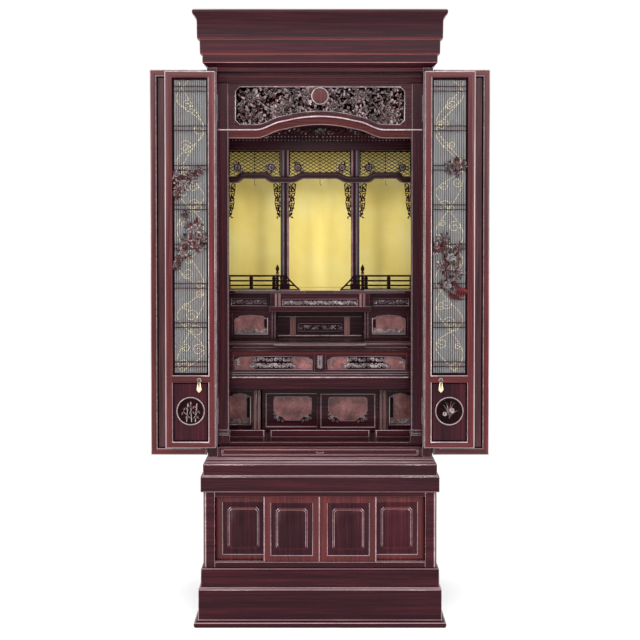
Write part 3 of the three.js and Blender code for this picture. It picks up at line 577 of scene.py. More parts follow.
def scroll(length, height, stem):
    """A foliage scroll round its own middle: an S of two curls with leaves in its bends."""
    shape = Shape()
    for s in (-1, 1):
        curl(shape, s * length * 0.25, -s * height * 0.06, 0, height * 0.4, sideways(s), 1.15, 1, stem)
    for s in (-1, 1):
        leaf(shape, s * length * 0.06, 0, -0.6, length * 0.3, height * 0.34, 0.7 + sideways(s), 2.2, 0.3, 0.6)
        leaf(shape, s * length * 0.4, s * height * 0.1, 0, length * 0.2, height * 0.26, s * 1.5, 2.0, 0.2, 0.3)
    return shape


# ---- what repeats: node trees ----


def new_tree(name, **inputs):
    """A node tree with these inputs, and the sockets by which they come in."""
    tree = bpy.data.node_groups.new(name, "GeometryNodeTree")
    tree.interface.new_socket("Geometry", in_out="OUTPUT", socket_type="NodeSocketGeometry")
    for title, kind in inputs.items():
        tree.interface.new_socket(title, in_out="INPUT", socket_type=f"NodeSocket{kind}")
    return tree, tree.nodes.new("NodeGroupInput").outputs


def maths(tree, operation, first, second):
    return add_node(tree, "ShaderNodeMath", {0: first, 1: second}, operation=operation)["Value"]


def row_of(tree, given):
    """Points at equal steps in a row."""
    inputs = {"Count": given["Count"], "Start Location": given["First"], "Offset": given["Step"]}
    return add_node(tree, "GeometryNodeMeshLine", inputs, mode="OFFSET")["Mesh"]


def end_tree(tree, given, points, instance, **more):
    """Every tree ends the same way: one form on each point, instances made real, then one finish on them."""
    inputs = {"Points": points, "Instance": instance, **more}
    forms = add_node(tree, "GeometryNodeInstanceOnPoints", inputs)["Instances"]
    real = add_node(tree, "GeometryNodeRealizeInstances", {"Geometry": forms})["Geometry"]
    inputs = {"Geometry": real, "Material": given["Finish"]}
    add_node(tree, "NodeGroupOutput", {"Geometry": add_node(tree, "GeometryNodeSetMaterial", inputs)["Geometry"]})
    return tree


def bars_tree():
    """A row of equal bars: how many, where the first stands, the step between them, and their size."""
    tree, given = new_tree(
        "row_of_bars", Count="Int", First="Vector", Step="Vector", Size="Vector", Finish="Material",
    )
    bar = add_node(tree, "GeometryNodeMeshCube", {"Size": given["Size"]})["Mesh"]
    return end_tree(tree, given, row_of(tree, given), bar)


def motif_tree():
    """A row of one carved motif, every second one turned about the upright."""
    tree, given = new_tree(
        "row_of_motifs", Motif="Object", Count="Int", First="Vector", Step="Vector", Turn="Float",
        Finish="Material",
    )
    motif = add_node(tree, "GeometryNodeObjectInfo", {"Object": given["Motif"]})["Geometry"]
    odd = maths(tree, "MODULO", add_node(tree, "GeometryNodeInputIndex", {})["Index"], 2.0)
    turn = add_node(tree, "ShaderNodeCombineXYZ", {"Z": maths(tree, "MULTIPLY", odd, given["Turn"])})["Vector"]
    return end_tree(tree, given, row_of(tree, given), motif, Rotation=turn)


def diamond_tree():
    """A diamond lattice: small crosses set edge to edge, columns by rows, round a middle."""
    tree, given = new_tree(
        "diamond_lattice", Columns="Int", Rows="Int", Wide="Float", Tall="Float", Strand="Float",
        Thick="Float", Middle="Vector", Finish="Material",
    )
    wide, tall = given["Wide"], given["Tall"]
    inputs = {}
    for title, count, size in (("X", given["Columns"], wide), ("Y", given["Rows"], tall)):
        inputs[f"Vertices {title}"] = count
        inputs[f"Size {title}"] = maths(tree, "MULTIPLY", maths(tree, "SUBTRACT", count, 1.0), size)
    grid = add_node(tree, "GeometryNodeMeshGrid", inputs)["Mesh"]
    inputs = {"Geometry": grid, "Rotation": (math.pi / 2, 0, 0), "Translation": given["Middle"]}
    middles = add_node(tree, "GeometryNodeTransform", inputs)["Geometry"]
    squares = maths(tree, "ADD", maths(tree, "MULTIPLY", wide, wide), maths(tree, "MULTIPLY", tall, tall))
    inputs = {"X": maths(tree, "SQRT", squares, 0.0), "Y": given["Thick"], "Z": given["Strand"]}
    size = add_node(tree, "ShaderNodeCombineXYZ", inputs)["Vector"]
    strand = add_node(tree, "GeometryNodeMeshCube", {"Size": size})["Mesh"]
    lean = maths(tree, "ARCTAN2", tall, wide)
    strands = []
    for way in (1.0, -1.0):
        turn = add_node(tree, "ShaderNodeCombineXYZ", {"Y": maths(tree, "MULTIPLY", lean, way)})["Vector"]
        inputs = {"Geometry": strand, "Rotation": turn}
        strands.append(add_node(tree, "GeometryNodeTransform", inputs)["Geometry"])
    cross = add_node(tree, "GeometryNodeJoinGeometry", {"Geometry": strands})["Geometry"]
    return end_tree(tree, given, middles, cross)


def grown(tree, **values):
    """Runs a node tree with the given values and returns its plain mesh, in millimetres."""
    host = put("host", bpy.data.meshes.new("host"))
    modifier = host.modifiers.new("tree", "NODES")
    modifier.node_group = tree
    for item in tree.interface.items_tree:
        if item.in_out == "INPUT" and item.name in values:
            modifier[item.identifier] = values[item.name]
    evaluated = host.evaluated_get(bpy.context.evaluated_depsgraph_get())
    mesh = bpy.data.meshes.new_from_object(evaluated)
    host.modifiers.remove(modifier)
    bpy.data.objects.remove(host)
    return mesh


BARS, MOTIFS, DIAMONDS = bars_tree(), motif_tree(), diamond_tree()


def bar_row(shape, count, first, step, size, finish):
    shape.take(grown(BARS, Count=count, First=first, Step=step, Size=size, Finish=finish), finish)


def motif_row(shape, motif, count, first, step, turn, finish):
    """Repeats a small shape, made round its own middle, along a row."""
    mesh = bpy.data.meshes.new("motif")
    mesh.from_pydata(motif.points, [], motif.faces)
    pattern = put("motif", mesh)
    row = grown(MOTIFS, Motif=pattern, Count=count, First=first, Step=step, Turn=turn, Finish=finish)
    shape.take(row, finish)
    bpy.data.objects.remove(pattern)
    bpy.data.meshes.remove(mesh)


# ---- folding doors ----

ARRIS = [(0, 4.8), (0.2, 3.3), (0.7, 2.1), (1.5, 1.2), (2.6, 0.7), (5.4, 0.2), (9, 0)]  # inset, depth: a leaf's rim
END_GRAIN, SIDE_GRAIN = RED_WOOD["across"], RED_WOOD["upright"]
STILE_FINISH = (END_GRAIN, SIDE_GRAIN, END_GRAIN, SIDE_GRAIN)  # bottom rail, right stile, top rail, left stile
STILE = 18
RAIL = 16
MID_RAIL = (599.3, 617.2)
MEDALLION_Z = 530.5


def rim_finishes(s):
    """Arrises that look up or away from the cabinet get the palest painted highlight, the others a greyer one:
    bottom, right, top and left of a leaf.
    """
    outward, inward = (PAINTED_PALE_HIGHLIGHT, PAINTED_GREY_HIGHLIGHT) if s > 0 else (PAINTED_GREY_HIGHLIGHT, PAINTED_PALE_HIGHLIGHT)
    return (PAINTED_GREY_HIGHLIGHT, outward, PAINTED_PALE_HIGHLIGHT, inward)


def opening_finishes(s):
    """The rim of an opening in a leaf takes a painted highlight only along its bottom and on the side towards the
    free edge.
    """
    right, left = (PAINTED_GREY_HIGHLIGHT, SIDE_GRAIN) if s < 0 else (SIDE_GRAIN, PAINTED_GREY_HIGHLIGHT)
    return (PAINTED_GREY_HIGHLIGHT, right, END_GRAIN, left)


def outer_leaf(node, s):
    """A solid leaf: a moulded frame round a sunk panel, alike on both faces."""
    xs, (near, far), zs = spans(node)
    steps = ARRIS + [(14.6, 0), (16.2, 0.5), (16.9, 1.8), (19.8, 5.8)]
    loops = [rectangle(xs, zs, inset, near + depth) for inset, depth in reversed(steps)]
    loops += [rectangle(xs, zs, inset, far - depth) for inset, depth in steps]
    # From the panel out: painted shade down into the sink, painted grey highlights, the frame, then the rim's painted
    # highlights.
    bands = [SHADE, PAINTED_GREY_HIGHLIGHT, PAINTED_GREY_HIGHLIGHT] + [STILE_FINISH] * 3 + [rim_finishes(s)] * 4
    shape = Shape(SIDE_GRAIN)
    nested(shape, loops, bands + [SIDE_GRAIN] + bands[::-1], (BROWN, BROWN))
    finished(f"{node}_leaf", shape, [node], body_of(node))


def holed_face(shape, outer, holes):
    """A flat face inside one rectangle of points, with rectangular holes above each other."""
    count = len(holes)

    def corner(k, i):
        return 4 + 4 * k + i

    left = [0] + [c for k in range(count) for c in (corner(k, 0), corner(k, 3))] + [3]
    right = [1] + [c for k in range(count) for c in (corner(k, 1), corner(k, 2))] + [2]
    faces = [left, right[::-1]]
    faces += [[0, 1, corner(0, 1), corner(0, 0)], [corner(count - 1, 3), corner(count - 1, 2), 2, 3]]
    for k in range(count - 1):
        faces.append([corner(k, 3), corner(k, 2), corner(k + 1, 1), corner(k + 1, 0)])
    points = list(outer) + [p for hole in holes for p in hole]
    shape.add(points, faces, [SIDE_GRAIN] * 2 + [END_GRAIN] * (count + 1))


def bamboo(shape, x, z, depth, radius, s):
    """Three bamboo stems with drooping sprays of pointed leaves."""
    for dx, lean in ((-0.32, 0.1), (0.06, -0.06), (0.36, 0.12)):
        line = [
            (x + radius * (dx + lean * t), z + radius * (-0.86 + 1.6 * t * (1 - 0.25 * abs(dx))))
            for t in between(0, 1, 8)
        ]
        rod(shape, line, 1.1, depth + 1, 6, PAINTED_GLINTS, grow=[1.35 if i % 2 else 1.0 for i in range(9)])
    tips = [
        (-0.5, 0.35), (-0.1, 0.62), (0.35, 0.5), (0.62, 0.1), (-0.68, -0.05), (0.1, 0.05), (-0.3, -0.4), (0.5, -0.4),
    ]
    for i, (dx, dz) in enumerate(tips):
        tip = x + dx * radius * 0.82, z + dz * radius * 0.82
        for k in range(4):
            turn = -UPWARDS + (k - 1.5) * 0.62 + 0.25 * s * (-1) ** i
            finish = PAINTED_GLINTS if (i + k) % 2 else None
            leaf(shape, *tip, depth - 0.5 * (k % 2), radius * 0.36, 2.5, turn, 3.0, 0.15, 0.9, finish)


def orchid(shape, x, z, depth, radius, s):
    """A tuft of long arching blades with two open flowers."""
    arches = [
        (-0.95, 0.3), (-0.8, 0.75), (-0.45, 1.0), (-0.1, 0.95), (0.25, 1.02), (0.55, 0.85), (0.85, 0.55), (0.98, 0.1),
    ]
    for i, (dx, dz) in enumerate(arches):
        line = []
        for t in between(0, 1, 7):
            across = dx * (0.15 * t + 0.85 * t * t)
            up = -0.7 + (dz + 0.7) * (1.35 * t - 0.35 * t * t)
            line.append((x + radius * 0.86 * across * s, z + radius * 0.86 * up))
        widths, depths = [1.8, 2.6, 3.0, 3.0, 2.6, 2.0, 1.3, 0.3], [depth - 0.4 * (i % 3)] * 8
        blade(shape, line, widths, depths, 3.0, PAINTED_GLINTS if i % 3 else None)
    for dx, dz, size in ((0.2, 0.05, 0.2), (-0.35, -0.22, 0.17)):
        petals(shape, x + dx * radius * s, z + dz * radius, depth - 1.2, radius * size, 5, 1.4, 0.3, PAINTED_GLINTS)


def medallion(shape, x, depth_at, plant, s):
    """A round openwork plaque: a turned ring with painted highlights, a ground painted dark as shade, and the plant.
    """

    def loop(radius, depth):
        return [(px, depth_at(depth), pz) for px, pz in circle(x, MEDALLION_Z, radius, 40)]

    ring = [(31, 6.6), (31, 3.2), (31.8, 2.3), (33.2, 2.0), (34.4, 2.6), (35, 4.0), (35, 6.6)]
    loops = [loop(radius, depth) for radius, depth in ring]
    nested(shape, loops, [SHADE, WOOD["upright"], PAINTED_GREY_HIGHLIGHT, PAINTED_GREY_HIGHLIGHT, WOOD["upright"], SIDE_GRAIN])
    nested(shape, [loops[-1], loops[0]], [SIDE_GRAIN])
    solid_of(shape, [loop(31.5, 5.4), loop(31.5, 6.6)], SHADE)
    drawn = Shape()
    plant(drawn, x, MEDALLION_Z, 3.9, 31, s)
    shape.add([(px, depth_at(depth), pz) for px, depth, pz in drawn.points], drawn.faces, drawn.finishes)


# groups of peonies: distance from the leaf's free edge, height and radius
SPRAYS = {
    "left": [
        [(94, 1100, 14), (78, 1078, 16), (98, 1056, 12), (58, 1096, 13), (40, 1108, 9)],
        [(27, 944, 13), (52, 972, 16), (80, 910, 15), (96, 884, 12), (72, 940, 13), (44, 930, 12), (74, 1004, 9)],
    ],
    "right": [
        [(92, 1126, 9), (60, 1117, 11), (76, 1136, 8), (78, 1108, 9)],
        [(30, 926, 13), (64, 900, 18), (56, 835, 16), (48, 948, 12), (44, 876, 12), (80, 862, 12), (84, 925, 10)],
    ],
}


def sprays(side, s, free_edge, face):
    """Peonies and leaves carved in one piece with their branches, over the front leaf's lattice."""
    luck = random.Random(11 if side == "left" else 23)
    shape = Shape(CARVED)
    inner, outer = sorted((free_edge + s * 20.5, free_edge + s * 104.5))
    for group in SPRAYS[side]:
        for i, (away, z, radius) in enumerate(group):
            x = free_edge + s * away
            blossom(shape, x, z, face + 5.2, radius * 0.62, 4.4, luck.random() * 3)
            for _ in range(int(radius * 1.7)):
                turn = luck.uniform(0, 2 * math.pi)
                foot = around(x, z, radius * luck.uniform(0.3, 1.1), turn)
                length = radius * luck.uniform(0.45, 0.8)
                leaf(
                    shape, *foot, face + luck.uniform(2.6, 4.6), length, luck.uniform(2.8, 4.6),
                    turn + luck.uniform(-0.7, 0.7), 2.4, luck.uniform(-0.5, 0.5), 0.8,
                    luck.choices((CARVED, PAINTED_GLINTS, SIDE_GRAIN), (5, 4, 2))[0],
                )
            for _ in range(3):
                turn = luck.uniform(0, 2 * math.pi)
                middle = around(x, z, radius * 0.9, turn)
                curl(shape, *middle, face + 3.6, radius * 0.22, turn, 1.1, luck.choice((-1, 1)), 0.9, steps=8)
            if i:
                away0, z0 = group[i - 1][:2]
                line = [
                    (free_edge + s * (away0 + (away - away0) * t), z0 + (z - z0) * t) for t in (0, 0.33, 0.66, 1)
                ]
                rod(shape, line, 1.3, face + 3.2, 5, SIDE_GRAIN)
    if side == "right":
        for i in range(9):
            t = i / 8
            x, z, turn = free_edge + s * (66 + 18 * t), 842 - 16 * t, -0.95 + 0.75 * t
            leaf(shape, x, z, face + 3.4 - 0.2 * i, 40 - 12 * t, 6.5, turn, 2.6, -0.35, 1.0, SIDE_GRAIN)
        for i in range(5):
            x, z, turn = free_edge + s * (60 + 4 * i), 822 - 3 * i, -1.5 + 0.2 * i
            leaf(shape, x, z, face + 2.8, 24, 5, turn, 2.2, 0.3, 0.8, SIDE_GRAIN)
    shape.points = [(min(max(x, inner), outer), max(depth, face + 0.3), z) for x, depth, z in shape.points]
    return shape


def arabesque(xs, zs, depth_at, start):
    """The gauze's pattern: two vines that wind across each other, with curls and small leaves, in flat thread."""
    shape = Shape(VINE)
    luck = random.Random(17 if start else 31)
    thread = [(-0.65, 11.35), (0.65, 11.35), (0.65, 11.85), (-0.65, 11.85)]
    low, high = xs[0] + 1.5, xs[1] - 1.5
    middle, reach = (low + high) / 2, (high - low) / 2
    bottom, top = zs[0] + 2, zs[1] - 2
    steps = 170
    for way, period in ((1, 186), (-1, 206)):
        line = []
        for z in between(bottom, top, steps):
            turn = 2 * math.pi * (z - bottom) / period + start + 0.55 * math.sin(way * z / 58)
            line.append((middle + way * reach * (0.88 * math.sin(turn) + 0.1 * math.sin(2 * turn)), z))
        sweep(shape, line, thread)
        z = bottom + 16
        while z < top - 26:
            x, level = line[round((z - bottom) / (top - bottom) * steps)]
            side = 1 if x < middle else -1
            radius = luck.uniform(8, 16)
            turning = side * luck.choice((-1, 1))
            sweep(shape, curl_line(x + side * radius, level, radius, sideways(-side), 1.4, turning, 26), thread)
            length = luck.uniform(6, 9)
            leaf(shape, x, level, 11.6, length, 3.0, UPWARDS - side * luck.uniform(1.8, 2.6), 0.4, 0.3)
            z += luck.uniform(36, 58)
    shape.points = [
        (min(max(x, low), high), depth_at(d), min(max(z, bottom - 1), top + 1)) for x, d, z in shape.points
    ]
    return shape


def lattice_leaf(node, side, s, outside_first):
    """A latticed leaf over a solid panel. Depths are counted from its outside face."""
    xs, (near, far), zs = spans(node)
    far = min(far, near + 20) if outside_first else far
    thick = far - near
    body = body_of(node)

    def depth_at(depth):
        return near + depth if outside_first else far - depth

    def loops_round(field, steps):
        return [rectangle(*field, inset, depth_at(depth)) for inset, depth in steps]

    def from_behind(steps):
        return [(inset, thick - depth) for inset, depth in steps]

    front, back = loops_round((xs, zs), ARRIS), loops_round((xs, zs), from_behind(ARRIS))
    edges = [STILE_FINISH] * 2 + [rim_finishes(s)] * 4
    shape = Shape(SIDE_GRAIN)
    nested(shape, front[::-1] + back, edges + [SIDE_GRAIN] + edges[::-1])
    window = (xs[0] + STILE, xs[1] - STILE), (MID_RAIL[1], zs[1] - RAIL)
    panel = (xs[0] + STILE, xs[1] - STILE), (zs[0] + RAIL, MID_RAIL[0])
    rim = [(-2.3, 0), (-1.1, 0.3), (0, 1.4)]
    hole = opening_finishes(s)
    # The rims of the window and of the sunk panel: painted highlights at their edges, then painted shade down into
    # them.
    through = loops_round(window, rim + [(4.4, 6.2), (4.5, thick - 1.6), (4.0, thick - 0.4), (2.6, thick)])
    nested(shape, through, [hole, hole, SHADE, SHADE, PAINTED_PALE_HIGHLIGHT, PAINTED_PALE_HIGHLIGHT])
    sunk = loops_round(panel, rim + [(3.6, 5.9)])
    right, left = (PAINTED_PALE_HIGHLIGHT, PAINTED_GREY_HIGHLIGHT) if s < 0 else (PAINTED_GREY_HIGHLIGHT, PAINTED_PALE_HIGHLIGHT)
    nested(shape, sunk, [hole, (PAINTED_PALE_HIGHLIGHT, right, END_GRAIN, left), SHADE], (None, WOOD["upright"]))
    behind = loops_round(panel, from_behind(rim + [(3.6, 5.4)]))
    nested(shape, behind, [PAINTED_PALE_HIGHLIGHT, PAINTED_PALE_HIGHLIGHT, SHADE], (None, SIDE_GRAIN))
    holed_face(shape, front[-1], [sunk[0], through[0]])
    holed_face(shape, back[-1], [behind[0], through[-1]])

    (x0, x1), (z0, z1) = window
    wide, tall, count = x1 - x0 - 9, z1 - z0 - 8.6, 14
    pitch = wide / (count + 1)
    first = (x0 + 4.5 + pitch, depth_at(9.4), (z0 + z1) / 2)
    bar_row(shape, count, first, (pitch, 0, 0), (1.3, 2.2, tall), WOOD["upright"])
    for shift in (-5.6, 5.6):
        first = ((x0 + x1) / 2, depth_at(8.7), 643.3 + shift)
        bar_row(shape, 8, first, (0, 0, 94.7), (wide + 0.5, 3.4, 1.7), WOOD["upright"])
    medallion(shape, (xs[0] + xs[1]) / 2, depth_at, bamboo if side == "left" else orchid, s)
    finished(f"{node}_leaf", shape, [node], body)

    cloth = Shape(GAUZE)
    gx, gy, gz = spans(f"{node}_gauze")
    box(cloth, gx, (gy[0] + 0.3, gy[1] - 0.3), gz)
    gauze = finished(f"{node}_cloth", cloth, [f"{node}_gauze"], body)
    pattern = arabesque(gx, gz, depth_at, 0.0 if side == "left" else math.pi)
    vine = finished(f"{node}_vine", pattern, (), body)


def door_pull(side):
    """A black boss on a plate and a pear-shaped drop of pale brass."""
    node = f"door_pull_{side}"
    xs, (near, far), (z0, z1) = spans(node)
    x, depth, reach = (xs[0] + xs[1]) / 2, (near + far) / 2, (far - near) / 2
    pear = [(0.3, 0), (3.4, 3.2), (5.2, 6.4), (4.8, 11), (3.8, 17), (3.0, 22), (2.4, 24.5)]
    loops = [
        [
            (x + r * 1.2 * math.cos(t), depth + min(r * 0.6, reach) * math.sin(t) * 0.8, z0 + up)
            for t in turns_round(16)
        ]
        for r, up in pear
    ]
    drop = Shape(BRASS)
    solid_of(drop, loops, BRASS)
    wedge = [(x - 2.5, z0 + 24), (x + 2.5, z0 + 24), (x + 0.3, z0 + 11), (x - 0.3, z0 + 11)]
    plate(drop, wedge, (near + 0.1, depth), BLACK)
    finished(f"{node}_drop", drop, [node], body_of(node))
    boss = Shape(BLACK)
    knob = [(0.5, 0), (3.8, 0.4), (4.4, 2.2), (3.2, 3.6), (0.5, 4.4)]
    turned(boss, (x, far - 0.2, z1 - 5.4), knob, 16, "out")
    turned(boss, (x, far - 0.1, z1 - 5.4), [(4.9, 0), (5.2, 0.5), (4.7, 1.0)], 16, "out", BRASS)
    finished(f"{node}_boss", boss, (), body_of(node))


def hinge_plates():
    """Flat butts on the inner face of each corner post, with countersunk screws almost flush."""
    for side, s in SIDES:
        shape = Shape(NICKEL)
        edge = s * 249.95
        for low, high in ((494, 555), (1232, 1295)):
            box(shape, (edge, edge - s * 0.4), (1.5, 21), (low, high))
            for k in range(4):
                for depth in (5, 17):
                    z = low + 8 + k * (high - low - 16) / 3
                    head = [
                        [(edge - s * out, a, b) for a, b in circle(depth, z, radius, 12)]
                        for radius, out in ((1.8, 0.3), (1.8, 0.5), (1.0, 0.7))
                    ]
                    solid_of(shape, head, PAINTED_GREY_HIGHLIGHT)
        finished(f"hinge_plates_{side}", shape)


def make_doors():
    for side, s in SIDES:
        outer_leaf(f"outer_door_{side}", s)
        outer_leaf(f"outer_door_{side}_folded", s)
        lattice_leaf(f"lattice_door_{side}", side, s, outside_first=False)
        node = f"lattice_door_{side}_folded"
        lattice_leaf(node, side, s, outside_first=True)
        xs, (near, _), _ = spans(node)
        free_edge = xs[0] if s > 0 else xs[1]
        finished(f"{node}_sprays", sprays(side, s, free_edge, near), (), body_of(node))
        door_pull(side)
    hinge_plates()


# ---- the arch and its transom ----

ARCH = {"side": 1212, "cusp": 1233, "crown": 1245, "cusp_at": 89, "side_at": 156}


def eased(share):
    """From 0 to 1 with a level start and end."""
    return share * share * (3 - 2 * share)


def arch_height(x):
    away = abs(x)
    if away >= ARCH["side_at"]:
        return ARCH["side"]
    if away >= ARCH["cusp_at"]:
        u = (ARCH["side_at"] - away) / (ARCH["side_at"] - ARCH["cusp_at"])
        return ARCH["side"] + (ARCH["cusp"] - ARCH["side"]) * eased(u)
    return ARCH["cusp"] + (ARCH["crown"] - ARCH["cusp"]) * (1 - (away / ARCH["cusp_at"]) ** 2)


def arch_line(half, shift, steps=48):
    return [(x, arch_height(x) + shift) for x in between(-half, half, steps)]


def make_arch():
    dressed("arch_board", WOOD["across"], PAINTED_RED_REFLECTION, 0.8)
    (_, half), (near, _), _ = spans("arch_board")
    # The bead is painted pale as a highlight, and the lip under the band grey as a dimmer one.
    bead = Shape(PAINTED_PALE_HIGHLIGHT)
    rod(bead, arch_line(249.4, 0.0), 1.8, near - 0.8, 8)
    band = [(-7.0, near + 3.0), (-7.0, near + 1.4), (6.4, near + 1.1), (7.2, near + 3.0)]
    sweep(bead, arch_line(half, -11.0), band, WARM)
    lip = [(-0.6, near + 2.6), (-0.5, near + 1.0), (0.5, near + 0.9), (0.6, near + 2.6)]
    sweep(bead, arch_line(half, -19.4), lip, PAINTED_GREY_HIGHLIGHT)
    finished("arch_bead", bead)


def make_transom():
    """Openwork of peonies, leaves and curling cloud on a winding branch, about a plain disc."""
    (x0, half), (near, far), (_, top) = spans("transom_carving")
    luck = random.Random(5)
    shape = Shape(CARVED)
    chamfer = 12
    disc_z, disc_r = 1295, 20

    def foot_at(x):
        return arch_height(x) + 10

    def free(x, z, margin=4.0):
        """Whether a form can stand there, inside the frame and off the disc."""
        low = foot_at(x) + margin
        corner = abs(x) + z < half + top - chamfer - margin
        off_disc = math.hypot(x, z - disc_z) > disc_r + 1
        return abs(x) < half - margin and low < z < top - margin and corner and off_disc

    # Dark lacquered carving, some of it with painted glints and a little with a pale painted highlight.
    def tone():
        return luck.choices((CARVED, PAINTED_GLINTS, PAINTED_PALE_HIGHLIGHT), (9, 7, 2))[0]

    foot = foot_at(half) + 1.5
    ring = [(-half, foot + chamfer), *arch_line(half - chamfer, 11.5, 34), (half, foot + chamfer)]
    for s in (-1, 1):
        corner = [(s * (half - chamfer), foot - 1), (s * half, foot - 1), (s * half, foot + chamfer)]
        plate(shape, corner, (near + 2, far), WOOD["across"])
    ring += [(half, top - chamfer), (half - chamfer, top), (chamfer - half, top), (-half, top - chamfer)]
    rim = [(2.6, near + 3.5), (2.3, near + 1.2), (1.0, near + 0.8), (0.0, near + 3.0), (0.0, far), (2.6, far)]
    sweep(shape, ring, rim, PAINTED_GLINTS, closed=True)

    inner = half - 4
    span, steps = 2 * inner / 6, 60
    branch = []
    for x in between(-inner, inner, steps):
        floor = foot_at(x)
        wave = math.sin(math.pi * (x + half - 4) / span)
        branch.append((x, (floor + top) / 2 + 0.22 * (top - floor) * wave))
    rod(shape, branch, 2.0, far - 4, 5)
    for x in [-inner + span * (i + 0.5) for i in range(6)]:
        z = branch[min(steps, round((x + half - 4) / (2 * inner) * steps))][1]
        z = min(max(z, foot_at(x) + 16), top - 15)
        blossom(shape, x, z, far - 2, 14, far - near - 2.5, luck.random() * 3)
        for k in range(9):
            turn = 2 * math.pi * k / 9 + luck.uniform(-0.2, 0.2)
            sx, sz = around(x, z, 13, turn)
            if free(*around(sx, sz, 8, turn)):
                leaf(
                    shape, sx, sz, far - luck.uniform(3, 7), 12, 5.5, turn + luck.uniform(-0.5, 0.5), 2.6,
                    luck.uniform(-0.4, 0.4), 1.6, tone(),
                )
    z = foot_at(half) + 5
    while z < top - 3:
        x = -half + 6 + luck.uniform(0, 6)
        while x < half - 5:
            dx, dz = x + luck.uniform(-2.5, 2.5), z + luck.uniform(-2.5, 2.5)
            kind = luck.random()
            if free(dx, dz) and kind < 0.34:
                curl(
                    shape, dx, dz, far - luck.uniform(2.5, 7), luck.uniform(2.6, 4.4), luck.uniform(0, 6.3), 1.25,
                    luck.choice((-1, 1)), 0.9, tone(), 9,
                )
            elif free(dx, dz) and kind < 0.93:
                leaf(
                    shape, dx, dz, far - luck.uniform(2, 7.5), luck.uniform(6, 11), luck.uniform(2.4, 4.2),
                    luck.uniform(0, 6.3), 2.4, luck.uniform(-0.6, 0.6), 1.4, tone(),
                )
            elif free(dx, dz):
                petals(shape, dx, dz, far - 5, 5.2, 5, 1.8, luck.random())
            x += luck.uniform(4.6, 6.6)
        z += 5.4
    for i in range(-24, 25):
        x = i * 8.2
        foot = foot_at(x)
        if free(x, foot + 7, 3):
            leaf(shape, x, foot + 2, far - 5, 9, 4.2, UPWARDS + 0.25 * (-1) ** i, 2.4, 0.2, 1.2, tone())
    for s in (-1, 1):
        for k in range(4):
            x = s * (half - 13 - 11 * k)
            for level in range(3):
                z = foot_at(x) + 8 + 11 * level
                if free(x, z):
                    leaf(shape, x, z, far - 4, 12, 5, 0.6 + luck.uniform(0, 1.4), 2.4, 0.3, 1.5)
    thick = far - near
    disc = [
        (disc_r - 1, 0), (disc_r, 1), (disc_r, thick - 3), (disc_r - 1.5, thick - 2.4), (disc_r - 2, thick - 4.5),
        (1, thick - 4.2),
    ]
    turned(shape, (0, far - 1, disc_z), disc, 40, "out", SIDE_GRAIN)
    rod(shape, circle(0, disc_z, disc_r, 40), 1.5, near + 2.2, 6, PAINTED_GLINTS, closed=True)
    shape.points = [
        (min(max(x, x0), half), min(max(depth, near), far), min(max(z, foot_at(x) + 0.3), top))
        for x, depth, z in shape.points
    ]
    finished("transom_openwork", shape, ["transom_carving"])


# ---- the altar hall ----


def make_crest():
    """The beam over the hall and the pierced crest on it, with two rows of beads."""
    (x0, x1), (_, far), (z0, z1) = spans("crest_beam")
    shape = Shape(WOOD["across"])
    box(shape, (x0, x1), (186, far), (z0, 1192))
    box(shape, (x0, x1), (194, 204), (1191, z1))
    bead, pitch = Shape(PAINTED_GLINTS), 9.0
    turned(bead, (0, 0, 0), [(0.8, 0), (1.9, 0.9), (1.4, 2.2), (0.4, 2.8)], 6, "out")
    count = int((x1 - x0 - 20) / pitch)
    for z in (1197, 1206.5):
        motif_row(shape, bead, count, (-(count - 1) * pitch / 2, 194.2, z), (pitch, 0, 0), 0.0, PAINTED_GLINTS)
    motif_row(shape, scroll(34, 20, 1.3), 14, (-6.5 * 34, 192.2, 1220), (34, 0, 0), math.pi, CARVED)
    for x in (-140, 0, 140):
        blossom(shape, x, 1216, 194, 14, 8, 0.0, CARVED)
    finished("crest_carving", shape, ["crest_beam"])


def rainbow(x0, x1, middle, flat, slope):
    """The rainbow beam's line: high in the middle of the bay, dipping towards the columns."""
    low, rise = 1096.0, 10.5
    line = []
    for x in between(x0, x1, 48):
        down = min(1, max(0, (abs(x - middle) - flat) / slope))
        line.append((x, low + rise * (1 - eased(down))))
    return line


def bracket(shape, x, z, s, near, far):
    """A hanging bracket: a chain of curls between two thin stems, narrowing downwards."""
    middle, tall, step = (near + far) / 2, 86, 12.2
    reach = [19, 16, 17, 14, 14, 11, 9]
    for i, wide in enumerate(reach):
        level = z - 7 - step * i
        way = 1 if i % 2 else -1
        quarter = math.pi / 2 * way
        curl(shape, x + s * wide * 0.62, level, middle, wide * 0.36, quarter, 1.15, way * s, 1.5, steps=10)
        curl(shape, x + s * wide * 0.2, level - 5.5, middle, wide * 0.26, -quarter, 1.0, -way * s, 1.3, steps=8)
        turn = (1.9 if i % 2 else -0.9) * s + sideways(s)
        leaf(shape, x + s * wide * 0.5, level - 6, middle, 8, 4, turn, 2.2, 0.4, 0.8)
    stem = [(x + s * (1.2 + 1.2 * math.sin(i * 1.1)), z - tall * i / 16) for i in range(17)]
    rod(shape, stem, 1.2, middle, 5)
    outer = [(x + s * (wide * 0.86 + 1.6 * math.sin(i * 1.7)), z - 2 - step * i) for i, wide in enumerate(reach)]
    rod(shape, outer + [(x + s * 2, z - tall)], 1.1, middle, 5)


